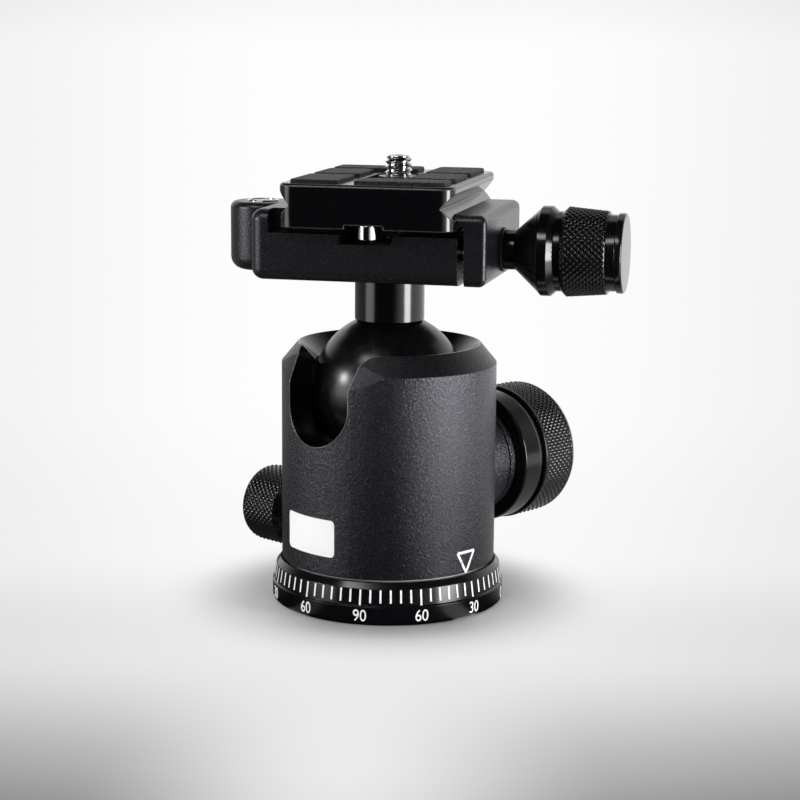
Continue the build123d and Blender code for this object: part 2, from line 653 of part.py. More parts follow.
pan_brake_pad.part.label = "pan_brake_pad"
export_step(pan_brake_pad.part, "parts/pan_brake_pad.step")

# ================================================================ main lock knob
with BuildPart() as lock_spindle:
    with BuildSketch(LOCK_PLANE):
        Polygon(
            (SPINDLE_TIP, 0),
            (SPINDLE_TIP, SPINDLE_TIP_R),
            (SPINDLE_CONE_END, SPINDLE_R),
            (SPINDLE_END, SPINDLE_R),
            (SPINDLE_END, 0),
            align=None,
        )
    revolve(axis=LOCK_AXIS)
    with BuildSketch(facing(LOCK_ANGLE, GRIP_HUB_END, LOCK_Z)):
        Circle(KNOB_SCREW_R + STATIC_FIT)
    extrude(amount=-KNOB_SCREW_LENGTH, mode=Mode.SUBTRACT)

lock_spindle.part.label = "lock_spindle"
export_step(lock_spindle.part, "parts/lock_spindle.step")

with BuildPart() as lock_collar:
    with BuildSketch(LOCK_PLANE):
        Polygon(
            (COLLAR_START, 0),
            (COLLAR_START, COLLAR_R - COLLAR_CHAMFER),
            (COLLAR_START + COLLAR_CHAMFER, COLLAR_R),
            (COLLAR_END - COLLAR_CHAMFER, COLLAR_R),
            (COLLAR_END, GRIP_GROOVE_R),
            (GRIP_START, GRIP_GROOVE_R),
            (GRIP_START, GRIP_HUB_R),
            (GRIP_HUB_END, GRIP_HUB_R),
            (GRIP_HUB_END, 0),
            align=None,
        )
    revolve(axis=LOCK_AXIS)
    with BuildSketch(facing(LOCK_ANGLE, 0, LOCK_Z)):
        Circle(SPINDLE_R + STATIC_FIT)
    extrude(amount=SPINDLE_END, mode=Mode.SUBTRACT)
    with BuildSketch(facing(LOCK_ANGLE, GRIP_HUB_END, LOCK_Z)):
        Circle(KNOB_SCREW_R + STATIC_FIT)
    extrude(amount=-KNOB_SCREW_LENGTH, mode=Mode.SUBTRACT)

lock_collar.part.label = "lock_collar"
export_step(lock_collar.part, "parts/lock_collar.step")

with BuildPart() as lock_grip:
    with BuildSketch(facing(LOCK_ANGLE, GRIP_START, LOCK_Z)):
        Circle(GRIP_R)
    extrude(amount=GRIP_END - GRIP_START)
    fillet(lock_grip.faces().sort_by(LOCK_AXIS)[-1].edges(), GRIP_ROUND)
    chamfer(lock_grip.faces().sort_by(LOCK_AXIS)[0].edges(), EDGE_BREAK)
    with BuildSketch(facing(LOCK_ANGLE, GRIP_START, LOCK_Z)):
        Circle(GRIP_HUB_R + STATIC_FIT)
    extrude(amount=GRIP_HUB_END - GRIP_START, mode=Mode.SUBTRACT)
    with BuildSketch(facing(LOCK_ANGLE, GRIP_HUB_END, LOCK_Z)):
        Circle(GRIP_WEB_R)
    extrude(amount=GRIP_END - GRIP_HUB_END, mode=Mode.SUBTRACT)
    with BuildSketch(facing(LOCK_ANGLE, GRIP_END, LOCK_Z)):
        Circle(CAP_R + STATIC_FIT)
    extrude(amount=-CAP_T, mode=Mode.SUBTRACT)

lock_grip.part.label = "lock_grip"
export_step(lock_grip.part, "parts/lock_grip.step")

with BuildPart() as lock_knob_screw:
    with BuildSketch(facing(LOCK_ANGLE, GRIP_HUB_END, LOCK_Z)):
        Circle(KNOB_SCREW_R)
    extrude(amount=EDGE_BREAK - KNOB_SCREW_LENGTH)
    with BuildSketch(facing(LOCK_ANGLE, GRIP_HUB_END, LOCK_Z)):
        Circle(KNOB_SCREW_HEAD_R)
    extrude(amount=KNOB_SCREW_HEAD_T)
    chamfer(lock_knob_screw.faces().sort_by(LOCK_AXIS)[-1].edges(), EDGE_BREAK)

lock_knob_screw.part.label = "lock_knob_screw"
export_step(lock_knob_screw.part, "parts/lock_knob_screw.step")

with BuildPart() as lock_cap:
    with BuildSketch(facing(LOCK_ANGLE, GRIP_END, LOCK_Z)):
        Circle(CAP_R)
    extrude(amount=-CAP_T)
    chamfer(lock_cap.faces().sort_by(LOCK_AXIS)[-1].edges(), EDGE_BREAK)

lock_cap.part.label = "lock_cap"
export_step(lock_cap.part, "parts/lock_cap.step")

# ================================================================ pan lock knob
with BuildPart() as pan_screw:
    with BuildSketch(facing(PAN_ANGLE, PAN_SCREW_START, BRAKE_Z)):
        Circle(PAN_SCREW_R)
    extrude(amount=PAN_SCREW_END - PAN_SCREW_START)
    chamfer(pan_screw.faces().sort_by(PAN_AXIS)[0].edges(), EDGE_BREAK)

pan_screw.part.label = "pan_screw"
export_step(pan_screw.part, "parts/pan_screw.step")

with BuildPart() as pan_grip:
    with BuildSketch(PAN_PLANE):
        Polygon(
            (PAN_HUB_START, 0),
            (PAN_HUB_START, PAN_HUB_R),
            (PAN_GRIP_START, PAN_HUB_R),
            (PAN_GRIP_START, PAN_GRIP_R - PAN_GRIP_CHAMFER),
            (PAN_GRIP_START + PAN_GRIP_CHAMFER, PAN_GRIP_R),
            (PAN_GRIP_END, PAN_GRIP_R),
            (PAN_GRIP_END, 0),
            align=None,
        )
    revolve(axis=PAN_AXIS)
    fillet(pan_grip.faces().sort_by(PAN_AXIS)[-1].edges(), PAN_GRIP_ROUND)
    with BuildSketch(facing(PAN_ANGLE, 0, BRAKE_Z)):
        Circle(PAN_SCREW_R + STATIC_FIT)
    extrude(amount=PAN_SCREW_END, mode=Mode.SUBTRACT)
    with BuildSketch(facing(PAN_ANGLE, PAN_GRIP_END, BRAKE_Z)):
        Circle(PAN_CAP_R + STATIC_FIT)
    extrude(amount=-PAN_CAP_T, mode=Mode.SUBTRACT)

pan_grip.part.label = "pan_grip"
export_step(pan_grip.part, "parts/pan_grip.step")

with BuildPart() as pan_cap:
    with BuildSketch(facing(PAN_ANGLE, PAN_GRIP_END, BRAKE_Z)):
        Circle(PAN_CAP_R)
    extrude(amount=-PAN_CAP_T)
    chamfer(pan_cap.faces().sort_by(PAN_AXIS)[-1].edges(), EDGE_BREAK)

pan_cap.part.label = "pan_cap"
export_step(pan_cap.part, "parts/pan_cap.step")

# ================================================================ ball and stem
with BuildPart() as ball:
    with Locations((0, 0, BALL_Z)):
        Sphere(BALL_R)

ball.part.label = "ball"
export_step(ball.part, "parts/ball.step")

with BuildPart() as stem:
    with BuildSketch(Plane.XZ):
        Polygon(
            (0, BALL_Z),
            (STEM_R, BALL_Z),
            (STEM_R, CLAMP_Z - SLIDE_GAP),
            (HUB_R, CLAMP_Z - SLIDE_GAP),
            (HUB_R, HUB_TOP_Z),
            (0, HUB_TOP_Z),
            align=None,
        )
    revolve(axis=Axis.Z)
    with Locations((0, 0, BALL_Z)):
        Sphere(SOCKET_R, mode=Mode.SUBTRACT)
    with BuildSketch(Plane.XY.offset(HUB_TOP_Z)):
        Circle(BOLT_R + STATIC_FIT)
    extrude(amount=-BOLT_DEPTH, mode=Mode.SUBTRACT)

stem.part.label = "stem"
export_step(stem.part, "parts/stem.step")

with BuildPart() as stem_washer:
    with BuildSketch(Plane.XY.offset(HUB_TOP_Z)):
        Circle(STEM_WASHER_R)
        Circle(BOLT_R + STATIC_FIT, mode=Mode.SUBTRACT)
    extrude(amount=STEM_WASHER_T)

stem_washer.part.label = "stem_washer"
export_step(stem_washer.part, "parts/stem_washer.step")

with BuildPart() as stem_bolt:
    with BuildSketch(Plane.XY.offset(HUB_TOP_Z + STEM_WASHER_T)):
        Circle(BOLT_R)
    extrude(amount=EDGE_BREAK - BOLT_DEPTH - STEM_WASHER_T)
    with BuildSketch(Plane.XY.offset(HUB_TOP_Z + STEM_WASHER_T)):
        Circle(BOLT_HEAD_R)
    extrude(amount=BOLT_HEAD_T)
    chamfer(stem_bolt.faces().sort_by(Axis.Z)[-1].edges(), EDGE_BREAK)
    with BuildSketch(Plane.XY.offset(HUB_TOP_Z + STEM_WASHER_T + BOLT_HEAD_T)):
        RegularPolygon(BOLT_SOCKET_R, 6)
    extrude(amount=-BOLT_SOCKET_DEPTH, mode=Mode.SUBTRACT)

stem_bolt.part.label = "stem_bolt"
export_step(stem_bolt.part, "parts/stem_bolt.step")

# ================================================================ clamp
with BuildPart() as level_boss:
    with BuildSketch(Plane.XY.offset(CLAMP_Z)):
        with Locations((LEVEL_X, 0)):
            Circle(LEVEL_BOSS_R)
    extrude(amount=LIP_TOP_Z - CLAMP_Z)
    fillet(level_boss.faces().sort_by(Axis.Z)[0].edges(), LEVEL_BOSS_FOOT_R)
    fillet(level_boss.faces().sort_by(Axis.Z)[-1].edges(), LEVEL_BOSS_TOP_R)

with BuildPart() as clamp_body:
    with BuildSketch(Plane.XZ):
        Polygon(
            (CLAMP_LEFT, CLAMP_Z),
            (CLAMP_RIGHT, CLAMP_Z),
            (CLAMP_RIGHT, DECK_Z),
            (-LIP_ROOT_X, DECK_Z),
            (-LIP_ROOT_X, LIP_SUM - LIP_ROOT_X),
            (-LIP_X, LIP_SUM - LIP_X),
            (-LIP_X, LIP_TOP_Z),
            (CLAMP_LEFT, LIP_TOP_Z),
            align=None,
        )
    extrude(amount=CLAMP_HALF, both=True)
    fillet(clamp_body.edges().filter_by(Axis.Z).group_by(Axis.X)[0], CLAMP_END_ROUND)
    fillet(clamp_body.edges().filter_by(Axis.Y).group_by(Axis.X)[0], CLAMP_ROUND)
    add(level_boss.part)
    # Low steps and stop channels at both ends.
    with BuildSketch(Plane.XY.offset(LIP_TOP_Z)):
        for side in (-1, 1):
            with Locations(((CHANNEL_X + CLAMP_RIGHT) / 2, side * CLAMP_HALF)):
                Rectangle(CLAMP_RIGHT - CHANNEL_X, 2 * CLAMP_STEP_T)
    extrude(amount=CLAMP_STEP_Z - LIP_TOP_Z, mode=Mode.SUBTRACT)
    with BuildSketch(Plane.XY.offset(LIP_TOP_Z)):
        for side in (-1, 1):
            with Locations((NOTCH_X, side * CLAMP_HALF)):
                Rectangle(2 * NOTCH_HALF, 2 * NOTCH_REACH)
    extrude(amount=NOTCH_Z - LIP_TOP_Z, mode=Mode.SUBTRACT)
    # Pivot, clamp screw, spring pocket, guide pins and level.
    with BuildSketch(Plane.XY.offset(CLAMP_Z)):
        Circle(HUB_R + RUNNING_FIT)
    extrude(amount=HUB_T, mode=Mode.SUBTRACT)
    with BuildSketch(Plane.XY.offset(HUB_TOP_Z - SLIDE_GAP)):
        Circle(STEM_WASHER_R + MOVING_GAP)
    extrude(amount=LIP_TOP_Z - HUB_TOP_Z, mode=Mode.SUBTRACT)
    with BuildSketch(facing(90, CLAMP_BORE_START, SCREW_Z)):
        Circle(CLAMP_SCREW_R + RUNNING_FIT)
    extrude(amount=CLAMP_RIGHT, mode=Mode.SUBTRACT)
    with BuildSketch(facing(90, JAW_SPRING_START - JAW_SPRING_WIRE_R, SCREW_Z)):
        Circle(JAW_SPRING_POCKET_R)
    extrude(amount=CLAMP_RIGHT, mode=Mode.SUBTRACT)
    with BuildSketch(facing(90, PIN_BORE_START, SCREW_Z)):
        with Locations((-PIN_Y, 0), (PIN_Y, 0)):
            Circle(PIN_R + RUNNING_FIT)
    extrude(amount=CLAMP_RIGHT, mode=Mode.SUBTRACT)
    with BuildSketch(Plane.XY.offset(LEVEL_FLOOR_Z)):
        with Locations((LEVEL_X, 0)):
            Circle(LEVEL_CUP_R + STATIC_FIT)
    extrude(amount=LEVEL_CUP_T, mode=Mode.SUBTRACT)

clamp_body.part.label = "clamp_body"
export_step(clamp_body.part, "parts/clamp_body.step")

with BuildPart() as level_cup:
    with BuildSketch(Plane.XY.offset(LEVEL_FLOOR_Z)):
        with Locations((LEVEL_X, 0)):
            Circle(LEVEL_CUP_R)
    extrude(amount=LEVEL_CUP_T)
    chamfer(level_cup.faces().sort_by(Axis.Z)[-1].edges(), EDGE_BREAK)
    with BuildSketch(Plane.XY.offset(LEVEL_FLOOR_Z + LEVEL_CUP_FLOOR_T)):
        with Locations((LEVEL_X, 0)):
            Circle(LEVEL_VIAL_R + STATIC_FIT)
    extrude(amount=LEVEL_CUP_T, mode=Mode.SUBTRACT)

level_cup.part.label = "level_cup"
export_step(level_cup.part, "parts/level_cup.step")

with BuildPart() as level_vial:
    with BuildSketch(Plane.XY.offset(LEVEL_FLOOR_Z + LEVEL_CUP_FLOOR_T)):
        with Locations((LEVEL_X, 0)):
            Circle(LEVEL_VIAL_R)
    extrude(amount=LEVEL_CUP_T - LEVEL_CUP_FLOOR_T)
    chamfer(level_vial.faces().sort_by(Axis.Z)[-1].edges(), LEVEL_VIAL_DOME)

level_vial.part.label = "level_vial"
export_step(level_vial.part, "parts/level_vial.step")

# ================================================================ movable jaw
with BuildPart() as movable_jaw:
    with BuildSketch(Plane.XZ):
        Polygon(
            (LIP_ROOT_X, CLAMP_Z),
            (JAW_OUTER, CLAMP_Z),
            (JAW_OUTER, LIP_TOP_Z),
            (LIP_X, LIP_TOP_Z),
            (LIP_X, LIP_SUM - LIP_X),
            (LIP_ROOT_X, LIP_SUM - LIP_ROOT_X),
            align=None,
        )
    extrude(amount=CLAMP_HALF, both=True)
    fillet(movable_jaw.edges().filter_by(Axis.Z).group_by(Axis.X)[-1], JAW_END_ROUND)
    fillet(movable_jaw.edges().filter_by(Axis.Y).group_by(Axis.X)[-1], JAW_ROUND)
    with BuildSketch(facing(90, 0, SCREW_Z)):
        Circle(CLAMP_SCREW_R + RUNNING_FIT)
    extrude(amount=JAW_OUTER, mode=Mode.SUBTRACT)
    with BuildSketch(facing(90, 0, SCREW_Z)):
        with Locations((-PIN_Y, 0), (PIN_Y, 0)):
            Circle(PIN_R + STATIC_FIT)
    extrude(amount=PIN_END, mode=Mode.SUBTRACT)

movable_jaw.part.label = "movable_jaw"
export_step(movable_jaw.part, "parts/movable_jaw.step")

with BuildPart() as guide_pins:
    with BuildSketch(facing(90, PIN_START, SCREW_Z)):
        with Locations((-PIN_Y, 0), (PIN_Y, 0)):
            Circle(PIN_R)
    extrude(amount=PIN_END - PIN_START)
    chamfer(guide_pins.faces().filter_by(GeomType.PLANE).edges(), EDGE_BREAK)

guide_pins.part.label = "guide_pins"
export_step(guide_pins.part, "parts/guide_pins.step")

with BuildPart() as jaw_spring:
    with BuildLine() as coil:
        Helix(
            JAW_SPRING_PITCH,
            SPRING_LENGTH,
            JAW_SPRING_R,
            center=(JAW_SPRING_START, 0, SCREW_Z),
            direction=(1, 0, 0),
        )
    with BuildSketch(Plane(coil.line @ 0, z_dir=coil.line % 0)):
        Circle(JAW_SPRING_WIRE_R)
    sweep(is_frenet=True)

jaw_spring.part.label = "jaw_spring"
export_step(jaw_spring.part, "parts/jaw_spring.step")

# ================================================================ clamp knob
with BuildPart() as clamp_screw:
    with BuildSketch(facing(90, CLAMP_SCREW_START, SCREW_Z)):
        Circle(CLAMP_SCREW_R)
    extrude(amount=CLAMP_SCREW_END - CLAMP_SCREW_START)
    chamfer(clamp_screw.faces().filter_by(GeomType.PLANE).edges(), EDGE_BREAK)

clamp_screw.part.label = "clamp_screw"
export_step(clamp_screw.part, "parts/clamp_screw.step")

with BuildPart() as clamp_washer:
    with BuildSketch(facing(90, JAW_OUTER, SCREW_Z)):
        Circle(KNOB_WASHER_R)
        Circle(CLAMP_SCREW_R + RUNNING_FIT, mode=Mode.SUBTRACT)
    extrude(amount=KNOB_WASHER_T)

clamp_washer.part.label = "clamp_washer"
export_step(clamp_washer.part, "parts/clamp_washer.step")

with BuildPart() as clamp_knob:
    with BuildSketch(KNOB_PLANE):
        Polygon(
            (KNOB_START, 0),
            (KNOB_START, KNOB_SHAFT_R),
            (KNOB_CONE_START, KNOB_SHAFT_R),
            (KNOB_CONE_START + EDGE_BREAK, KNOB_SHAFT_R + EDGE_BREAK),
            (KNOB_CONE_END, KNOB_CONE_R),
            (KNOB_FLANGE_START, KNOB_FLANGE_R),
            (KNOB_FLANGE_END, KNOB_FLANGE_R),
            (KNOB_NECK_START, KNOB_NECK_R),
            (KNOB_GRIP_START, KNOB_NECK_R),
            (KNOB_GRIP_START, KNOB_HUB_R),
            (KNOB_GRIP_END, KNOB_HUB_R),
            (KNOB_GRIP_END, 0),
            align=None,
        )
    revolve(axis=SCREW_AXIS)
    with BuildSketch(facing(90, 0, SCREW_Z)):
        Circle(CLAMP_SCREW_R + STATIC_FIT)
    extrude(amount=CLAMP_SCREW_END + OVERRUN, mode=Mode.SUBTRACT)

clamp_knob.part.label = "clamp_knob"
export_step(clamp_knob.part, "parts/clamp_knob.step")

with BuildPart() as clamp_grip:
    with BuildSketch(KNOB_PLANE):
        Polygon(
            (KNOB_GRIP_START, KNOB_HUB_R + STATIC_FIT),
            (KNOB_GRIP_START, KNOB_GRIP_R - KNOB_GRIP_CHAMFER),
            (KNOB_GRIP_START + KNOB_GRIP_CHAMFER, KNOB_GRIP_R),
            (KNOB_GRIP_END - EDGE_BREAK, KNOB_GRIP_END_R),
            (KNOB_GRIP_END, KNOB_GRIP_END_R - EDGE_BREAK),
            (KNOB_GRIP_END, KNOB_HUB_R + STATIC_FIT),
            align=None,
        )
    revolve(axis=SCREW_AXIS)

clamp_grip.part.label = "clamp_grip"
export_step(clamp_grip.part, "parts/clamp_grip.step")

with BuildPart() as clamp_cap:
    with BuildSketch(KNOB_PLANE):
        Polygon(
            (KNOB_GRIP_END, 0),
            (KNOB_GRIP_END, KNOB_END_NECK_R),
            (KNOB_DISC_START, KNOB_END_NECK_R),
            (KNOB_DISC_START, KNOB_DISC_R),
            (KNOB_END - KNOB_DISC_CHAMFER, KNOB_DISC_R),
            (KNOB_END, KNOB_DISC_R - KNOB_DISC_CHAMFER),
            (KNOB_END, 0),
            align=None,
        )
    revolve(axis=SCREW_AXIS)

clamp_cap.part.label = "clamp_cap"
export_step(clamp_cap.part, "parts/clamp_cap.step")

# ================================================================ quick-release plate
with BuildPart() as plate:
    with BuildSketch(Plane.XZ):
        Polygon(
            (-PLATE_HALF_WIDTH, PLATE_Z),
            (PLATE_HALF_WIDTH, PLATE_Z),
            (PLATE_HALF_WIDTH, PLATE_FOOT_Z),
            (PLATE_HALF_WIDTH - DOVETAIL_DEPTH, DOVETAIL_APEX_Z),
            (PLATE_HALF_WIDTH, PLATE_FLANGE_Z),
            (PLATE_HALF_WIDTH, PLATE_TOP_Z),
            (-PLATE_HALF_WIDTH, PLATE_TOP_Z),
            (-PLATE_HALF_WIDTH, PLATE_FLANGE_Z),
            (-PLATE_HALF_WIDTH + DOVETAIL_DEPTH, DOVETAIL_APEX_Z),
            (-PLATE_HALF_WIDTH, PLATE_FOOT_Z),
            align=None,
        )
    extrude(amount=PLATE_HALF_LENGTH, both=True)
    with BuildSketch(Plane.XY.offset(PLATE_Z - OVERRUN)):
        RectangleRounded(2 * PLATE_HALF_WIDTH, 2 * PLATE_HALF_LENGTH, PLATE_CORNER_R)
    extrude(amount=PLATE_TOP_Z - PLATE_Z + 2 * OVERRUN, mode=Mode.INTERSECT)
    chamfer(plate.faces().sort_by(Axis.Z)[-1].edges(), PLATE_EDGE)
    # Groove along the underside, wider where the camera screw's head travels.
    with BuildSketch(Plane.XY.offset(PLATE_Z)):
        Rectangle(2 * PLATE_GROOVE_HALF, 2 * PLATE_HALF_LENGTH)
    extrude(amount=PLATE_GROOVE_DEPTH, mode=Mode.SUBTRACT)
    with BuildSketch(Plane.XY.offset(PLATE_Z)):
        SlotCenterToCenter(2 * SCREW_SLOT_REACH, 2 * (SCREW_HEAD_R + MOVING_GAP), rotation=90)
    extrude(amount=SCREW_WEB_Z - PLATE_Z, mode=Mode.SUBTRACT)
    with BuildSketch(Plane.XY.offset(PLATE_Z)):
        SlotCenterToCenter(2 * SCREW_SLOT_REACH, 2 * SCREW_SLOT_HALF, rotation=90)
    extrude(amount=PLATE_TOP_Z - PLATE_Z, mode=Mode.SUBTRACT)
    with BuildSketch(Plane.XY.offset(PLATE_TOP_Z)):
        SlotCenterToCenter(2 * SCREW_SLOT_REACH, 2 * TOP_RECESS_HALF, rotation=90)
    extrude(amount=-TOP_RECESS_DEPTH, mode=Mode.SUBTRACT)
    with BuildSketch(Plane.XY.offset(STOP_SEAT_Z)):
        with Locations((STOP_X, -STOP_Y), (STOP_X, STOP_Y)):
            Circle(STOP_R + STATIC_FIT)
    extrude(amount=STOP_LENGTH, mode=Mode.SUBTRACT)

plate.part.label = "plate"
export_step(plate.part, "parts/plate.step")

with BuildPart() as plate_pads:
    with BuildSketch(Plane.XY.offset(PLATE_TOP_Z)):
        for turn in (1, -1):
            for x0, x1, y0, y1 in (
                (PAD_INNER_X, PAD_OUTER_X, PAD_SIDE_START_Y, PAD_OUTER_Y),
                (PAD_INNER_X, PAD_OUTER_X, PAD_MIDDLE_END_Y, PAD_MIDDLE_START_Y),
                (-PAD_CROSS_X, PAD_OUTER_X, -PAD_OUTER_Y, -PAD_CROSS_Y),
            ):
                with Locations((turn * (x0 + x1) / 2, turn * (y0 + y1) / 2)):
                    RectangleRounded(x1 - x0, y1 - y0, PAD_CORNER_R)
    extrude(amount=PAD_T)

plate_pads.part.label = "plate_pads"
export_step(plate_pads.part, "parts/plate_pads.step")

with BuildPart() as stop_screws:
    with BuildSketch(Plane.XY.offset(STOP_HEAD_Z)):
        with Locations((STOP_X, -STOP_Y), (STOP_X, STOP_Y)):
            Circle(STOP_HEAD_R)
    extrude(amount=STOP_SEAT_Z - STOP_HEAD_Z)
    chamfer(stop_screws.faces().group_by(Axis.Z)[0].edges(), EDGE_BREAK)
    with BuildSketch(Plane.XY.offset(STOP_SEAT_Z)):
        with Locations((STOP_X, -STOP_Y), (STOP_X, STOP_Y)):
            Circle(STOP_R)
    extrude(amount=STOP_LENGTH - EDGE_BREAK)
    with BuildSketch(Plane.XY.offset(STOP_HEAD_Z)):
        with Locations((STOP_X, -STOP_Y), (STOP_X, STOP_Y)):
            RegularPolygon(STOP_SOCKET_R, 6)
    extrude(amount=STOP_SOCKET_DEPTH, mode=Mode.SUBTRACT)

stop_screws.part.label = "stop_screws"
export_step(stop_screws.part, "parts/stop_screws.step")

# ================================================================ camera screw
with BuildPart() as camera_screw:
    with BuildSketch(Plane.XZ.offset(-SCREW_Y)):
        Polygon(
            (0, SCREW_HEAD_Z),
            (SCREW_HEAD_R - EDGE_BREAK, SCREW_HEAD_Z),
            (SCREW_HEAD_R, SCREW_HEAD_Z + EDGE_BREAK),
            (SCREW_HEAD_R, SCREW_HEAD_Z + SCREW_HEAD_T),
            (SCREW_SHANK_R, SCREW_HEAD_Z + SCREW_HEAD_T),
            (SCREW_SHANK_R, SCREW_THREAD_Z),
            (SCREW_R, SCREW_THREAD_Z + SCREW_R - SCREW_SHANK_R),
            (SCREW_R, SCREW_TIP_Z - SCREW_TIP_CHAMFER),
            (SCREW_R - SCREW_TIP_CHAMFER, SCREW_TIP_Z),
            (0, SCREW_TIP_Z),
            align=None,
        )
    revolve(axis=Axis((0, SCREW_Y, 0), (0, 0, 1)))
    with BuildSketch(Plane.XY.offset(SCREW_HEAD_Z)):
        with Locations((0, SCREW_Y)):
            Rectangle(2 * SCREW_HEAD_R, SCREW_COIN_SLOT)
    extrude(amount=SCREW_COIN_DEPTH, mode=Mode.SUBTRACT)

camera_screw.part.label = "camera_screw"
export_step(camera_screw.part, "parts/camera_screw.step")

with BuildPart() as screw_clip:
    with BuildSketch(Plane.XY.offset(TOP_RECESS_Z + SLIDE_GAP)):
        with Locations((0, SCREW_Y)):
            Circle(CLIP_R)
            Circle(SCREW_SHANK_R + RUNNING_FIT, mode=Mode.SUBTRACT)
    extrude(amount=CLIP_T)

screw_clip.part.label = "screw_clip"
export_step(screw_clip.part, "parts/screw_clip.step")
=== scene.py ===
import json
import math

import bmesh
import bpy
from mathutils import Matrix, Vector

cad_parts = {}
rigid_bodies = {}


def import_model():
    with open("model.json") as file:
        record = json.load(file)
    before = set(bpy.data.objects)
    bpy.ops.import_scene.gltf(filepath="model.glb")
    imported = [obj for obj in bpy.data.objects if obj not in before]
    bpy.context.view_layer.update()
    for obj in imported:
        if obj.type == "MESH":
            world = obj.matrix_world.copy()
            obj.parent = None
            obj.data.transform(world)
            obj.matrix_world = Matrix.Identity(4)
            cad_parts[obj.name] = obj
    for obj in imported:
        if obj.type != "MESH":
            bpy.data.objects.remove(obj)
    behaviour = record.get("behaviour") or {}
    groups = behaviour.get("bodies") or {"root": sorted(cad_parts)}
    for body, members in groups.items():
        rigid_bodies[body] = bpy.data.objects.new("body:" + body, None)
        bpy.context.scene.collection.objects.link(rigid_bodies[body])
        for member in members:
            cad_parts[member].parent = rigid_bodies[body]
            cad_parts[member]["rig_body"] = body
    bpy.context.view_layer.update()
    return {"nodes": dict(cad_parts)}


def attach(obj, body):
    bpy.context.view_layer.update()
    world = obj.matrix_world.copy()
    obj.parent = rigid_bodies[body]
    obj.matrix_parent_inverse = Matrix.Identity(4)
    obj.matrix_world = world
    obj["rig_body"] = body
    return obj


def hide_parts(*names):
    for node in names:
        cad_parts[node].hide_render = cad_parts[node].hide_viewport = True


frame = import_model()

# Lengths are in millimetres here and become metres when a mesh is made.
# +Z is up, X runs along the clamp screw, and a direction on the housing is an angle from -Y to +X.
MM = 0.001
TURN = 2 * math.pi

BALL_Z, BALL_R = 49.25, 17.75
LOCK_ANGLE, LOCK_Z = 150, 28.6
PAN_ANGLE, PAN_Z = -120, 15.6
SCREW_Z = 82.4
SLOT_ANGLE, SLOT_HALF, SLOT_Z = -30, 9.2, 48.1
HOUSING_R, HOUSING_Z = 24.8, 9.9
BEVEL_Z, RIM_Z, RIM_R = 55.8, 60.2, 21.1
MOUTH_SHIFT, MOUTH_Z, MOUTH_SLOPE = 10.0, 51.4, 2.4


# ---------------------------------------------------------------- placing
def outward(angle):
    """The horizontal unit vector in a direction on the housing."""
    return Vector((math.sin(math.radians(angle)), -math.cos(math.radians(angle)), 0))


def along(direction, origin):
    """Turns a shape made along its own Z onto another axis."""
    z = Vector(direction).normalized()
    x = Vector((0, 0, 1)).cross(z)
    x = x.normalized() if x.length > 1e-6 else Vector((1, 0, 0))
    turned = Matrix((x, z.cross(x), z)).transposed().to_4x4()
    turned.translation = Vector(origin)
    return turned


UPRIGHT = Matrix.Identity(4)
LOCK_AXIS = along(outward(LOCK_ANGLE), (0, 0, LOCK_Z))
PAN_AXIS = along(outward(PAN_ANGLE), (0, 0, PAN_Z))
SCREW_AXIS = along((1, 0, 0), (0, 0, SCREW_Z))


# ---------------------------------------------------------------- shader nodes
def material(name, base, roughness, metallic=0.0, **sockets):
    """A Principled material, with its nodes and the shader handed back for the texture."""
    made = bpy.data.materials.new(name)
    made.use_nodes = True
    shader = made.node_tree.nodes["Principled BSDF"]
    shader.inputs["Base Color"].default_value = (*base, 1)
    shader.inputs["Roughness"].default_value = roughness
    shader.inputs["Metallic"].default_value = metallic
    for socket, value in sockets.items():
        shader.inputs[socket.replace("_", " ")].default_value = value
    return made, made.node_tree, shader


def node(tree, kind, inputs=None, **settings):
    """A node with its settings, and with each input set to a value or linked to an output."""
    made = tree.nodes.new(kind)
    for key, value in settings.items():
        setattr(made, key, value)
    for socket, value in (inputs or {}).items():
        if isinstance(value, bpy.types.NodeSocket):
            tree.links.new(value, made.inputs[socket])
        else:
            made.inputs[socket].default_value = value
    return made


def object_point(tree, stretch=(1, 1, 1)):
    """Object coordinates in millimetres, stretched along an axis where a finish runs one way."""
    place = node(tree, "ShaderNodeTexCoord").outputs["Object"]
    scale = [s / MM for s in stretch]
    return node(tree, "ShaderNodeMapping", {"Vector": place, "Scale": scale}).outputs["Vector"]


def noise(tree, point, scale, detail=2.0, roughness=0.5):
    inputs = {"Vector": point, "Scale": scale, "Detail": detail, "Roughness": roughness}
    return node(tree, "ShaderNodeTexNoise", inputs).outputs["Fac"]


def maths(tree, operation, first, second=0.0):
    made = node(tree, "ShaderNodeMath", {0: first, 1: second}, operation=operation)
    return made.outputs["Value"]


def between(tree, factor, low, high, to_low, to_high, curve="LINEAR"):
    """Maps low to high onto to_low to to_high, and holds those values outside them."""
    inputs = {
        "Value": factor,
        "From Min": low,
        "From Max": high,
        "To Min": to_low,
        "To Max": to_high,
    }
    made = node(tree, "ShaderNodeMapRange", inputs, interpolation_type=curve)
    return made.outputs["Result"]


def ramp(tree, factor, stops):
    made = node(tree, "ShaderNodeValToRGB", {"Fac": factor})
    ends = made.color_ramp.elements
    while len(ends) < len(stops):
        ends.new(0.5)
    for end, (place, colour) in zip(ends, stops):
        end.position = place
        end.color = (*colour, 1)
    return made.outputs["Color"]


def vary(tree, shader, pattern, stops, roughness=None):
    """Lets a pattern drive the base colour and, where a range is given, the roughness."""
    tree.links.new(ramp(tree, pattern, stops), shader.inputs["Base Color"])
    if roughness:
        tree.links.new(between(tree, pattern, *roughness), shader.inputs["Roughness"])


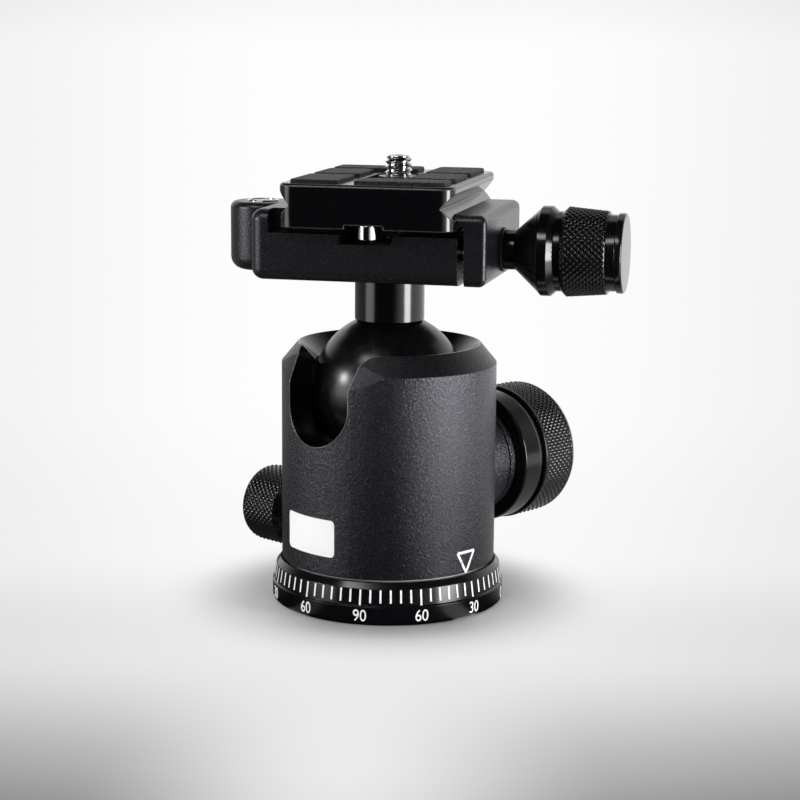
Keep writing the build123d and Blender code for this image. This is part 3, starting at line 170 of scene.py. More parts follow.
def bump(tree, shader, height, strength, distance):
    inputs = {"Height": height, "Strength": strength, "Distance": distance * MM}
    made = node(tree, "ShaderNodeBump", inputs)
    tree.links.new(made.outputs["Normal"], shader.inputs["Normal"])


# ---------------------------------------------------------------- materials
FINE_RELIEF = 0.02
COOL_SHEEN = (0.9, 0.9, 1.0, 1.0)
EVEN, ACROSS_AXIS = (1, 1, 1), (1, 1, 6)


def scaled(colour, factor):
    return tuple(min(1.0, factor * c) for c in colour)


def coating(name, base, roughness, grain_scale, strength, depth, shine=0.5):
    """Black powder coating with a fine even grain, a little paler where the grains stand up."""
    sheen = {"Specular_IOR_Level": shine, "Specular_Tint": COOL_SHEEN}
    made, tree, shader = material(name, base, roughness, **sheen)
    grain = noise(tree, object_point(tree), grain_scale, 4.0, 0.6)
    stops = ((0.3, scaled(base, 0.75)), (0.52, base), (0.7, scaled(base, 1.6)))
    vary(tree, shader, grain, stops, (0.35, 0.65, 1.15 * roughness, 0.8 * roughness))
    bump(tree, shader, grain, strength, depth)
    return made


def anodised(name, base, roughness, stretch=ACROSS_AXIS, strength=0.12):
    """Black anodised aluminium with fine tool marks, across its axis unless stretch says else."""
    made, tree, shader = material(name, base, roughness)
    marks = noise(tree, object_point(tree, stretch), 1.6, 4.0, 0.6)
    stops = ((0.25, scaled(base, 0.8)), (0.75, scaled(base, 1.4)))
    vary(tree, shader, marks, stops, (0.3, 0.7, roughness * 0.85, roughness * 1.2))
    bump(tree, shader, marks, strength, FINE_RELIEF)
    return made


def metal(name, base, roughness, stretch=ACROSS_AXIS):
    """Bare or plated metal with fine tool marks."""
    made, tree, shader = material(name, base, roughness, 1.0)
    marks = noise(tree, object_point(tree, stretch), 2.0, 4.0, 0.6)
    stops = ((0.3, scaled(base, 0.85)), (0.7, base))
    vary(tree, shader, marks, stops, (0.3, 0.7, roughness * 0.7, roughness * 1.4))
    bump(tree, shader, marks, 0.1, FINE_RELIEF)
    return made


def rubber():
    """Moulded black rubber with a leathery grain."""
    made, tree, shader = material("rubber", (0.02, 0.02, 0.022), 0.5, Specular_IOR_Level=0.3)
    point = object_point(tree)
    cells = node(tree, "ShaderNodeTexVoronoi", {"Vector": point, "Scale": 1.1})
    fine = noise(tree, point, 2.4, 3.0)
    stops = ((0.3, (0.003, 0.003, 0.0035)), (0.7, (0.012, 0.012, 0.014)))
    vary(tree, shader, fine, stops, (0.3, 0.7, 0.42, 0.6))
    bump(tree, shader, maths(tree, "ADD", cells.outputs["Distance"], fine), 1.0, 0.5)
    return made


def plastic(name, base, roughness):
    made, tree, shader = material(name, base, roughness)
    mottle = noise(tree, object_point(tree), 1.2, 3.0)
    vary(tree, shader, mottle, ((0.3, base), (0.7, scaled(base, 1.15))))
    bump(tree, shader, mottle, 0.1, FINE_RELIEF)
    return made


def paint():
    """White paint of the marks, slightly uneven."""
    made, tree, shader = material("mark_white", (0.92, 0.92, 0.92), 0.5)
    patches = noise(tree, object_point(tree), 1.2, 2.0)
    vary(tree, shader, patches, ((0.2, (0.91, 0.91, 0.91)), (0.7, (0.95, 0.95, 0.95))))
    bump(tree, shader, patches, 0.08, FINE_RELIEF)
    return made


def vial_fluid():
    made, tree, shader = material("vial_fluid", (0.62, 0.78, 0.18), 0.05, Transmission_Weight=0.45)
    haze = noise(tree, object_point(tree), 0.5, 1.0)
    vary(tree, shader, haze, ((0.2, (0.55, 0.72, 0.15)), (0.8, (0.7, 0.84, 0.25))))
    return made


COATING = coating(
    "coating", (0.0062, 0.0062, 0.0082), 0.29, grain_scale=1.9, strength=1.0, depth=0.23, shine=0.8
)
# The bevels' coating is darker than the side's: painted shade on faces that turn upwards, besides
# its finer grain.
SHADED_BEVEL_COATING = coating(
    "bevel_coating_painted_shade", (0.0035, 0.0035, 0.0045), 0.32, grain_scale=2.3, strength=1.0, depth=0.17
)
FINE_COATING = coating(
    "fine_coating", (0.007, 0.007, 0.0085), 0.3, grain_scale=2.2, strength=0.7, depth=0.1
)
GLOSS = anodised("gloss_anodised", (0.002, 0.002, 0.0028), 0.16, strength=0.05)
BALL_BLACK = anodised("ball_anodised", (0.002, 0.002, 0.0026), 0.24, (0.25, 0.25, 0.25), 0.02)
SATIN = anodised("satin_anodised", (0.003, 0.003, 0.0038), 0.17, strength=0.06)
PLATE_BLACK = anodised("plate_anodised", (0.002, 0.002, 0.0026), 0.15, (1, 5, 1), 0.05)
KNURLED = anodised("knurled_anodised", (0.0025, 0.0025, 0.003), 0.18, EVEN, 0.06)
# Edge finish: paler for rubbed wear and as a painted highlight along rounded edges.
EDGE_WEAR_AND_HIGHLIGHT = anodised("rubbed_edge_and_painted_highlight", (0.03, 0.03, 0.034), 0.28, EVEN, 0.03)
SPUN = anodised("spun_anodised", (0.009, 0.009, 0.01), 0.3, EVEN)
EDGE_METAL = metal("worn_edge", (0.2, 0.19, 0.18), 0.35, EVEN)
RUBBER = rubber()
CHROME = metal("chrome", (0.78, 0.78, 0.79), 0.1, EVEN)
STEEL = metal("turned_steel", (0.56, 0.56, 0.57), 0.3)
BRASS = metal("brass", (0.7, 0.52, 0.24), 0.3)
ACETAL = plastic("acetal", (0.72, 0.71, 0.67), 0.42)
BLACK_PLASTIC = plastic("black_plastic", (0.016, 0.016, 0.018), 0.4)
WHITE = paint()
VIAL = vial_fluid()


# ---------------------------------------------------------------- making pieces
def add_piece(name, mesh, body, finish, slot=None, replaces=(), sharp=None):
    """Puts a mesh in the scene on its body, with its material. The slot argument is not used."""
    mesh.materials.clear()
    mesh.materials.append(finish)
    mesh.shade_smooth()
    if sharp is not None:
        mesh.set_sharp_from_angle(angle=math.radians(sharp))
    piece = bpy.data.objects.new(name, mesh)
    bpy.context.scene.collection.objects.link(piece)
    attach(piece, body)
    if replaces:
        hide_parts(*replaces)
    return piece


def even_normals(piece):
    """Keeps flat faces flat in shading beside their small rounded edges."""
    modifier = piece.modifiers.new("even_normals", "WEIGHTED_NORMAL")
    modifier.keep_sharp = True


def round_edges(piece, width, sharp):
    """Rounds the edges that turn by more than sharp degrees."""
    rounding = piece.modifiers.new("edges", "BEVEL")
    rounding.width = width * MM
    rounding.segments = 3
    rounding.limit_method = "ANGLE"
    rounding.angle_limit = math.radians(sharp)
    rounding.miter_outer = "MITER_ARC"
    return rounding


def solid_mesh(name, points, faces, place=UPRIGHT):
    """A closed mesh from points in millimetres."""
    mesh = bpy.data.meshes.new(name)
    mesh.from_pydata([(place @ Vector(p)) * MM for p in points], [], faces)
    work = bmesh.new()
    work.from_mesh(mesh)
    bmesh.ops.remove_doubles(work, verts=work.verts, dist=1e-7)
    bmesh.ops.recalc_face_normals(work, faces=work.faces)
    work.to_mesh(mesh)
    work.free()
    return mesh


def soften(profile, steps=5):
    """Turns each corner (along, radius, rounding) that names a rounding into an arc."""
    line = []
    for i, corner in enumerate(profile):
        here = Vector(corner[:2])
        if len(corner) < 3 or i in (0, len(profile) - 1):
            line.append(here)
            continue
        back = Vector(profile[i - 1][:2]) - here
        ahead = Vector(profile[i + 1][:2]) - here
        angle = back.angle(ahead)
        reach = corner[2] / math.tan(angle / 2)
        reach = min(reach, 0.499 * back.length, 0.499 * ahead.length)
        radius = reach * math.tan(angle / 2)
        middle = (back.normalized() + ahead.normalized()).normalized()
        centre = here + middle * (radius / math.sin(angle / 2))
        start = here + back.normalized() * reach - centre
        end = here + ahead.normalized() * reach - centre
        turn = math.atan2(start.x * end.y - start.y * end.x, start.dot(end))
        for k in range(steps + 1):
            spin = Matrix.Rotation(turn * k / steps, 2)
            line.append(centre + spin @ start)
    return line


def divided(line, step):
    """Adds points to a line so that none is further from the next than step."""
    made = [line[0]]
    for a, b in zip(line, line[1:]):
        parts = max(1, math.ceil((b - a).length / step))
        made.extend(a.lerp(b, k / parts) for k in range(1, parts + 1))
    return made


def revolved(name, profile, place, segments=192, relief=None, step=0.2):
    """A mesh from a profile of (along, radius, rounding) turned about an axis.

    A profile that ends where it starts is a ring; any other starts and ends on the axis.
    relief(turn, along, radius) is added to the radius, and turn runs from 0 to 1.
    """
    ring_shaped = profile[0][:2] == profile[-1][:2]
    line = soften(profile)
    if relief:
        line = divided(line, step)
    if ring_shaped:
        line = line[:-1]
    points, rows = [], []
    for p in line:
        if p.y < 1e-6:
            rows.append([len(points)])
            points.append((0, 0, p.x))
            continue
        row = []
        for k in range(segments):
            share = k / segments
            radius = p.y + (relief(share, p.x, p.y) if relief else 0)
            row.append(len(points))
            points.append(
                (radius * math.cos(TURN * share), radius * math.sin(TURN * share), p.x)
            )
        rows.append(row)
    after = rows[1:] + rows[:1] if ring_shaped else rows[1:]
    faces = []
    for a, b in zip(rows, after):
        for k in range(segments):
            n = (k + 1) % segments
            corners = [a[k % len(a)], a[n % len(a)], b[n % len(b)], b[k % len(b)]]
            corners = list(dict.fromkeys(corners))
            if len(corners) > 2:
                faces.append(corners)
    return solid_mesh(name, points, faces, place)


def lathe(
    name, profile, place, body, finish, segments=192, relief=None, step=0.2, sharp=42, **record
):
    """A turned piece on its body. record is its slot and the nodes that it replaces."""
    mesh = revolved(name, profile, place, segments, relief, step)
    piece = add_piece(name, mesh, body, finish, sharp=sharp, **record)
    even_normals(piece)
    return piece


KNURL_FLAT, KNURL_FACETS = 0.8, 8


def knurl(radius, start, end, pitch, depth, least, fade=0.5):
    """What lathe needs for a diamond knurl between two places along the axis.

    Surfaces nearer the axis than least stay smooth.
    """
    count = round(TURN * radius / pitch)

    def ridge(x):
        return min(1.0, abs(2 * (x - math.floor(x)) - 1) / KNURL_FLAT)

    def relief(turn, place, at_radius):
        inside = min(place - start, end - place)
        if inside <= 0 or at_radius <= least:
            return 0.0
        u, v = turn * count, place / pitch
        height = min(ridge(u + v), ridge(u - v))
        return -depth * (1 - height) * min(1.0, inside / fade)

    return {
        "segments": count * KNURL_FACETS,
        "relief": relief,
        "step": pitch / KNURL_FACETS,
        "sharp": 80,
    }


def thread(pitch, depth, start, end, least=0.0):
    """Relief of a right-hand V thread that runs out at both ends, outside the radius least."""

    def relief(turn, place, at_radius):
        inside = min(place - start, end - place)
        if inside <= 0 or at_radius <= least:
            return 0.0
        wave = (place / pitch - turn) % 1.0
        return -depth * (1 - abs(2 * wave - 1)) * min(1.0, inside / (0.5 * pitch))

    return relief


CAD_WELD, CAD_FLAT_WITHIN, CAD_SHARP = 2e-6, 0.6, 25


def from_cad(name, source, finish, slot, edge):
    """A copy of a CAD node with its edges rounded and given a paler colour, partly rubbed wear and
    partly a painted highlight, which stands for that node.
    """
    mesh = frame["nodes"][source].data.copy()
    mesh.name = name
    work = bmesh.new()
    work.from_mesh(mesh)
    bmesh.ops.remove_doubles(work, verts=work.verts, dist=CAD_WELD)
    bmesh.ops.dissolve_limit(
        work, angle_limit=math.radians(CAD_FLAT_WITHIN), verts=work.verts, edges=work.edges
    )
    work.to_mesh(mesh)
    work.free()
    piece = add_piece(name, mesh, frame["nodes"][source]["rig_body"], finish, slot, (source,))
    # The rounded edges get the paler edge finish, wear together with a painted highlight.
    mesh.materials.append(EDGE_WEAR_AND_HIGHLIGHT)
    round_edges(piece, edge, CAD_SHARP).material = 1
    even_normals(piece)


def join_meshes(name, parts):
    """One mesh from several closed ones, given as (points, faces)."""
    points, faces = [], []
    for some_points, some_faces in parts:
        first = len(points)
        points.extend(some_points)
        faces.extend([first + i for i in face] for face in some_faces)
    return solid_mesh(name, points, faces)


def prism(top, bottom):
    """A closed shape between two outlines with the same number of points."""
    n = len(top)
    faces = [list(range(n)), list(range(2 * n - 1, n - 1, -1))]
    faces += [[i, (i + 1) % n, n + (i + 1) % n, n + i] for i in range(n)]
    return list(top) + list(bottom), faces


def cut(piece, cutter_mesh):
    """Takes a closed mesh out of a piece."""
    cutter = bpy.data.objects.new("cutter", cutter_mesh)
    bpy.context.scene.collection.objects.link(cutter)
    modifier = piece.modifiers.new("cut", "BOOLEAN")
    modifier.object = cutter
    modifier.operation = "DIFFERENCE"
    modifier.solver = "EXACT"
    bpy.context.view_layer.update()
    shown = piece.evaluated_get(bpy.context.evaluated_depsgraph_get())
    made = bpy.data.meshes.new_from_object(shown)
    piece.modifiers.remove(modifier)
    piece.data = made
    bpy.data.objects.remove(cutter)


def cut_hexagon(piece, x, y, radius, low, high):
    """Takes an upright hexagonal socket out of a piece."""
    angles = [TURN * k / 6 for k in range(6)]
    corners = [(x + radius * math.cos(a), y + radius * math.sin(a)) for a in angles]
    ends = [[(*corner, height) for corner in corners] for height in (low, high)]
    cut(piece, solid_mesh("socket", *prism(*ends)))


# Every profile below lists corners of (place along the axis, radius, rounding).
# ---------------------------------------------------------------- panning base
BAND_R, RING_TOP = 27.0, 9.6
HOLE_R, HOLE_TOP = 4.76, 12.5
TICK_LOW, TICK_HIGH = (4.65, 26.65), (8.3, 26.1)
WASHER_Z, WASHER_OUTER, WASHER_INNER = 9.3, 24.03, 17.0
SPIGOT_R, SPIGOT_TOP = 15.5, 19.4
GROOVE_R, GROOVE_LOW, GROOVE_HIGH = 14.3, 13.9, 17.3
RING = (
    (HOLE_TOP, 0),
    (HOLE_TOP, HOLE_R),
    (0.0, HOLE_R, 0.3),
    (0.0, BAND_R, 1.1),
    (4.3, BAND_R, 0.12),
    (*TICK_LOW, 0.1),
    (*TICK_HIGH, 0.15),
    (RING_TOP, 25.1, 0.25),
    (RING_TOP, WASHER_OUTER),
    (WASHER_Z, WASHER_OUTER),
    (WASHER_Z, WASHER_INNER),
    (RING_TOP, WASHER_INNER),
    (RING_TOP, SPIGOT_R),
    (GROOVE_LOW, SPIGOT_R),
    (PAN_Z, GROOVE_R),
    (GROOVE_HIGH, SPIGOT_R),
    (SPIGOT_TOP, SPIGOT_R),
    (SPIGOT_TOP, 0),
)
lathe("scale_ring", RING, UPRIGHT, "base", SATIN, 288, slot="black_anodised", replaces=["pan_base"])

TICK_TOP, TICK_R = 8.15, 26.4
TICK_SHORT, TICK_LONG = 2.9, 3.5
TICK_WIDTH = 0.42
TICK_EVERY, LONG_EVERY = 5, 30
MARK_PROUD, MARK_SUNK = 0.04, 0.2


def tick_band_radius(height):
    """Radius of the tapered band that carries the ticks."""
    share = (height - TICK_LOW[0]) / (TICK_HIGH[0] - TICK_LOW[0])
    return TICK_LOW[1] + share * (TICK_HIGH[1] - TICK_LOW[1])


def tick(angle, length):
    half = math.degrees(TICK_WIDTH / 2 / TICK_R)
    low = TICK_TOP - length
    outlines = []
    for proud in (MARK_PROUD, -MARK_SUNK):
        outline = []
        for side, height in ((-1, TICK_TOP), (-1, low), (1, low), (1, TICK_TOP)):
            radius = tick_band_radius(height) + proud
            outline.append(outward(angle + side * half) * radius + Vector((0, 0, height)))
        outlines.append(outline)
    return prism(*outlines)


ticks = [tick(a, TICK_SHORT if a % LONG_EVERY else TICK_LONG) for a in range(0, 360, TICK_EVERY)]
add_piece("scale_ticks", join_meshes("scale_ticks", ticks), "base", WHITE, sharp=30)

NUMBERS = {0: "90", 30: "60", 60: "30", 90: "0", 120: "30", 150: "60", 180: "90"}
NUMBERS.update({-a: t for a, t in list(NUMBERS.items()) if 0 < a < 180})
NUMBER_Z, NUMBER_HEIGHT, NUMBER_SQUEEZE = 2.4, 2.75, 0.86
CAPITAL_SHARE = 0.73  # of the font's size
DIGIT_DEPTH, DIGIT_BOLDER = 0.12, 0.008


def flat_text(text, height):
    """Text as points (across, up, depth) and faces, centred, with a real thickness."""
    curve = bpy.data.curves.new("digits", "FONT")
    curve.body = text
    curve.align_x = "CENTER"
    curve.size = height / CAPITAL_SHARE
    curve.extrude = DIGIT_DEPTH
    curve.offset = DIGIT_BOLDER
    writing = bpy.data.objects.new("digits", curve)
    bpy.context.scene.collection.objects.link(writing)
    bpy.context.view_layer.update()
    shown = writing.evaluated_get(bpy.context.evaluated_depsgraph_get())
    mesh = bpy.data.meshes.new_from_object(shown)
    points = [tuple(v.co) for v in mesh.vertices]
    faces = [list(p.vertices) for p in mesh.polygons]
    bpy.data.objects.remove(writing)
    bpy.data.meshes.remove(mesh)
    return points, faces


digit_parts = []
for angle, text in sorted(NUMBERS.items()):
    flat_points, flat_faces = flat_text(text, NUMBER_HEIGHT)
    middle = (min(p[1] for p in flat_points) + max(p[1] for p in flat_points)) / 2
    wrapped = []
    for across, up, depth in flat_points:
        out = outward(angle + math.degrees(NUMBER_SQUEEZE * across / BAND_R))
        place = out * (BAND_R + MARK_PROUD - DIGIT_DEPTH + depth)
        wrapped.append(place + Vector((0, 0, NUMBER_Z + up - middle)))
    digit_parts.append((wrapped, flat_faces))
add_piece("scale_numbers", join_meshes("scale_numbers", digit_parts), "base", WHITE, sharp=30)

# ---------------------------------------------------------------- housing
BORE_R, LIP_R, LIP_LOW, LIP_HIGH = 18.6, 17.0, 55.4, 56.0
HOUSING = (
    (HOUSING_Z, BORE_R),
    (HOUSING_Z, HOUSING_R, 0.35),
    (BEVEL_Z, HOUSING_R, 0.5),
    (RIM_Z, RIM_R, 0.12),
    (RIM_Z, RIM_R - 0.35, 0.12),
    (LIP_HIGH, LIP_R, 0.15),
    (LIP_LOW, LIP_R),
    (LIP_LOW, BORE_R),
    (HOUSING_Z, BORE_R),
)
shell = lathe(
    "housing_shell",
    HOUSING,
    UPRIGHT,
    "housing",
    COATING,
    256,
    slot="coated_aluminium",
    replaces=["housing"],
)

SLOT_ROUND, CORNER_STEPS, FOOT_STEPS = 1.6, 12, 64
FLARE_LEAN, FLARE_Z, FLARE_R = 1.3, 51.8, 3.4
PAST_SURFACE, SLOT_CUTTER_END = 1.0, 27


def slot_line():
    """The drop slot's outline (across, up), from its left edge's top to its right edge's."""
    left, right = -SLOT_HALF - SLOT_ROUND, SLOT_HALF + FLARE_LEAN
    line = [(left, RIM_Z + PAST_SURFACE)]
    for k in range(CORNER_STEPS + 1):
        a = math.pi / 2 * (1 - k / CORNER_STEPS)
        up = RIM_Z - SLOT_ROUND + SLOT_ROUND * math.sin(a)
        line.append((left + SLOT_ROUND * math.cos(a), up))
    for k in range(FOOT_STEPS + 1):
        a = math.pi * (1 + k / FOOT_STEPS)
        line.append((SLOT_HALF * math.cos(a), SLOT_Z + SLOT_HALF * math.sin(a)))
    line.append((SLOT_HALF, FLARE_Z))
    slope = math.atan2(FLARE_LEAN, RIM_Z - FLARE_Z)
    spread = math.pi / 2 - slope
    centre = (right + FLARE_R * math.tan(spread / 2), RIM_Z - FLARE_R)
    for k in range(CORNER_STEPS + 1):
        a = math.pi - slope - spread * k / CORNER_STEPS
        line.append((centre[0] + FLARE_R * math.cos(a), centre[1] + FLARE_R * math.sin(a)))
    line.append((centre[0], RIM_Z + PAST_SURFACE))
    return line


def at_slot(across, up, out):
    return outward(SLOT_ANGLE) * out + outward(SLOT_ANGLE + 90) * across + Vector((0, 0, up))


def mouth_bevel_radius(height):
    """Radius of the steeper bevel beside the slot, about its own axis behind the housing's."""
    return HOUSING_R + MOUTH_SHIFT - (height - MOUTH_Z) / MOUTH_SLOPE


outline = slot_line()
slot_ends = [[at_slot(x, z, out) for x, z in outline] for out in (0, SLOT_CUTTER_END)]
cut(shell, solid_mesh("slot_cutter", *prism(*slot_ends)))

mouth_top = RIM_Z + PAST_SURFACE
mouth_foot = MOUTH_Z - MOUTH_SLOPE * PAST_SURFACE
MOUTH_CUTTER = (
    (mouth_top, mouth_bevel_radius(mouth_top)),
    (mouth_foot, mouth_bevel_radius(mouth_foot)),
    (mouth_top, mouth_bevel_radius(mouth_foot)),
    (mouth_top, mouth_bevel_radius(mouth_top)),
)
mouth_axis = along((0, 0, 1), outward(SLOT_ANGLE) * -MOUTH_SHIFT)
cut(shell, revolved("mouth_cutter", MOUTH_CUTTER, mouth_axis, 256))

# From just below the slot up, the bevels have a finer coating that is also painted darker as shade,
# and the faces within are polished.
BELOW_SLOT, BEVEL_LEAST_UP, WALL_MOST_OUTWARD = 36.0, 0.3, 0.6
shell.data.materials.append(SHADED_BEVEL_COATING)
shell.data.materials.append(GLOSS)
for face in shell.data.polygons:
    if face.center.z > BELOW_SLOT * MM:
        facing = face.normal.dot(Vector((face.center.x, face.center.y, 0)).normalized())
        if face.normal.z > BEVEL_LEAST_UP and facing > 0:
            face.material_index = 1
        elif facing < WALL_MOST_OUTWARD:
            face.material_index = 2
round_edges(shell, 0.5, 12)
shell.data.set_sharp_from_angle(angle=math.radians(30))

BOSS_FOOT = 19.3
LOCK_BOSS_R, LOCK_BOSS_END, LOCK_BUSHING_R, LOCK_BUSHING_END = 13.0, 28.6, 6.53, 28.0
LOCK_BOSS = (
    (BOSS_FOOT, 0),
    (BOSS_FOOT, LOCK_BOSS_R),
    (LOCK_BOSS_END, LOCK_BOSS_R, 0.3),
    (LOCK_BOSS_END, LOCK_BUSHING_R),
    (LOCK_BUSHING_END, LOCK_BUSHING_R),
    (LOCK_BUSHING_END, 0),
)
lathe("lock_boss", LOCK_BOSS, LOCK_AXIS, "housing", COATING, slot="coated_aluminium")
PAN_BOSS_R, PAN_BOSS_END, PAN_HOLE_R, PAN_HOLE_END = 5.6, 26.4, 2.6, 26.0
PAN_BOSS = (
    (BOSS_FOOT, 0),
    (BOSS_FOOT, PAN_BOSS_R),
    (PAN_BOSS_END, PAN_BOSS_R, 0.3),
    (PAN_BOSS_END, PAN_HOLE_R),
    (PAN_HOLE_END, PAN_HOLE_R),
    (PAN_HOLE_END, 0),
)
lathe("pan_boss", PAN_BOSS, PAN_AXIS, "housing", COATING, slot="coated_aluminium")
LOCK_WASHER_STEP, LOCK_WASHER_END, LOCK_WASHER_BORE = 28.9, 30.7, 4.3
LOCK_WASHER = (
    (LOCK_BOSS_END, LOCK_WASHER_BORE),
    (LOCK_BOSS_END, 11.4),
    (LOCK_WASHER_STEP, 11.4),
    (LOCK_WASHER_STEP, LOCK_BOSS_R, 0.25),
    (LOCK_WASHER_END, LOCK_BOSS_R, 0.3),
    (LOCK_WASHER_END, LOCK_WASHER_BORE),
    (LOCK_BOSS_END, LOCK_WASHER_BORE),
)
lathe(
    "lock_washer_ring",
    LOCK_WASHER,
    LOCK_AXIS,
    "housing",
    COATING,
    slot="coated_aluminium",
    replaces=["lock_washer"],
)


def tube(name, path, radius, body, finish, sides=10, **options):
    """A thin round bead along a path."""
    points, faces = [], []
    count = len(path)
    for i, here in enumerate(path):
        ahead = path[min(i + 1, count - 1)] - path[max(i - 1, 0)]
        ahead.normalize()
        side = ahead.cross(Vector((here.x, here.y, 0)).normalized()).normalized()
        up = side.cross(ahead).normalized()
        for k in range(sides):
            a = TURN * k / sides
            points.append(here + radius * (math.cos(a) * side + math.sin(a) * up))
    for i in range(count - 1):
        for k in range(sides):
            n = (k + 1) % sides
            faces.append([i * sides + k, i * sides + n, (i + 1) * sides + n, (i + 1) * sides + k])
    faces.append(list(range(sides)))
    faces.append([(count - 1) * sides + k for k in reversed(range(sides))])
    return add_piece(name, solid_mesh(name, points, faces), body, finish, **options)


def housing_radius(height):
    """Outer radius of the housing at a height."""
    if height <= BEVEL_Z:
        return HOUSING_R
    return HOUSING_R - (height - BEVEL_Z) * (HOUSING_R - RIM_R) / (RIM_Z - BEVEL_Z)


BEAD_R, BEAD_SUNK, BEAD_STEP = 0.13, 0.04, 0.4
bead_path = []
for x, z in divided([Vector(p) for p in outline[1:-1]], BEAD_STEP):
    side = math.sqrt(housing_radius(z) ** 2 - x * x)
    mouth = math.sqrt(mouth_bevel_radius(z) ** 2 - x * x) - MOUTH_SHIFT
    bead_path.append(at_slot(x, z, min(side, mouth) - BEAD_SUNK))
tube("slot_bead", bead_path, BEAD_R, "housing", EDGE_METAL, sharp=60, slot="coated_aluminium")

# ---------------------------------------------------------------- marks on the housing
LABEL_LEFT, LABEL_RIGHT = -51.6, -15.7
LABEL_LOW, LABEL_HIGH, LABEL_CORNER = 14.3, 22.8, 0.9
LABEL_PROUD, LABEL_STEPS = 0.08, 48


def plate_on_housing(name, rows, proud, finish):
    """A closed thin plate that follows the housing, from rows of (angle, low, high)."""
    face_r, back_r = HOUSING_R + proud, HOUSING_R - MARK_SUNK
    points, faces = [], []
    for angle, low, high in rows:
        for r, z in ((face_r, low), (face_r, high), (back_r, high), (back_r, low)):
            points.append(outward(angle) * r + Vector((0, 0, z)))
    for i in range(len(rows) - 1):
        for k in range(4):
            n = (k + 1) % 4
            faces.append([4 * i + k, 4 * i + n, 4 * i + 4 + n, 4 * i + 4 + k])
    last = 4 * (len(rows) - 1)
    faces.append([0, 1, 2, 3])
    faces.append([last + 3, last + 2, last + 1, last])
    add_piece(name, solid_mesh(name, points, faces), "housing", finish, sharp=35)


label_rows = []
for k in range(LABEL_STEPS + 1):
    angle = LABEL_LEFT + (LABEL_RIGHT - LABEL_LEFT) * k / LABEL_STEPS
    inset = math.radians(min(angle - LABEL_LEFT, LABEL_RIGHT - angle)) * HOUSING_R
    short = max(0.0, LABEL_CORNER - inset)
    drop = LABEL_CORNER - math.sqrt(max(0.0, LABEL_CORNER**2 - short**2))
    label_rows.append((angle, LABEL_LOW + drop, LABEL_HIGH - drop))
plate_on_housing("blank_label", label_rows, LABEL_PROUD, WHITE)

INDEX_ANGLE, INDEX_FOOT, INDEX_LINE, INDEX_STEPS = 59.0, 9.95, 0.58, 8
INDEX_CORNERS = ((0, 10.1), (-2.7, 14.85), (2.7, 14.85))


def index_stroke(a, b):
    """One side of the index triangle, from one corner (across, up) to the next."""
    a, b = Vector(a), Vector(b)
    aside = Vector((-(b - a).y, (b - a).x)).normalized() * INDEX_LINE / 2
    pairs = []
    for k in range(INDEX_STEPS + 1):
        here = a.lerp(b, k / INDEX_STEPS)
        row = []
        for p in (here - aside, here + aside):
            angle = INDEX_ANGLE + math.degrees(p.x / HOUSING_R)
            row.append((angle, max(INDEX_FOOT, p.y)))
        pairs.append(row)
    parts = []
    for pair, after in zip(pairs, pairs[1:]):
        rim = [pair[0], after[0], after[1], pair[1]]
        ends = [
            [outward(angle) * radius + Vector((0, 0, z)) for angle, z in rim]
            for radius in (HOUSING_R + MARK_PROUD, HOUSING_R - MARK_SUNK)
        ]
        parts.append(prism(*ends))
    return parts


index_parts = []
for i, corner in enumerate(INDEX_CORNERS):
    index_parts += index_stroke(corner, INDEX_CORNERS[(i + 1) % 3])
add_piece("index_triangle", join_meshes("index_triangle", index_parts), "housing", WHITE, sharp=30)

# ---------------------------------------------------------------- main lock knob
SPINDLE_BORE, SLEEVE_R, SLEEVE_END = 4.03, 11.0, 48.5
COLLAR_START, COLLAR_END, COLLAR_R, COLLAR_NECK_R = 31.0, 38.3, 15.9, 15.2
COLLAR = (
    (COLLAR_START, SPINDLE_BORE),
    (COLLAR_START, COLLAR_R, 0.5),
    (36.3, COLLAR_R, 0.8),
    (37.5, 15.68, 0.1),
    (37.6, COLLAR_NECK_R, 0.1),
    (COLLAR_END, COLLAR_NECK_R),
    (COLLAR_END, SLEEVE_R),
    (SLEEVE_END, SLEEVE_R),
    (SLEEVE_END, SPINDLE_BORE),
    (COLLAR_START, SPINDLE_BORE),
)
lathe(
    "lock_collar_ring",
    COLLAR,
    LOCK_AXIS,
    "lock_knob",
    SATIN,
    224,
    slot="black_anodised",
    replaces=["lock_collar"],
)
GRIP_START, GRIP_BORE, GRIP_R, GRIP_END = 38.2, 11.03, 16.3, 51.0
CAP_START, CAP_RECESS_R, GRIP_FLOOR_R = 49.8, 9.05, 6.0
GRIP = (
    (GRIP_START, GRIP_BORE),
    (GRIP_START, GRIP_R, 0.4),
    (GRIP_END, GRIP_R, 3.6),
    (GRIP_END, CAP_RECESS_R, 0.2),
    (CAP_START, CAP_RECESS_R),
    (CAP_START, GRIP_FLOOR_R),
    (SLEEVE_END, GRIP_FLOOR_R),
    (SLEEVE_END, GRIP_BORE),
    (GRIP_START, GRIP_BORE),
)
lathe(
    "lock_grip_knurled",
    GRIP,
    LOCK_AXIS,
    "lock_knob",
    KNURLED,
    **knurl(GRIP_R, 38.7, 48.6, pitch=1.55, depth=0.32, least=14.5),
    slot="knurled_black",
    replaces=["lock_grip"],
)
CAP_R, CAP_GROOVE_Z = 9.0, 50.8
CAP = (
    (CAP_START, 0),
    (CAP_START, CAP_R),
    (GRIP_END, CAP_R, 0.3),
    (GRIP_END, 7.2, 0.1),
    (CAP_GROOVE_Z, 7.0, 0.1),
    (CAP_GROOVE_Z, 6.6, 0.1),
    (GRIP_END, 6.4, 0.1),
    (GRIP_END, 0),
)
lathe(
    "lock_end_cap",
    CAP,
    LOCK_AXIS,
    "lock_knob",
    SPUN,
    slot="black_anodised",
    replaces=["lock_cap"],
)

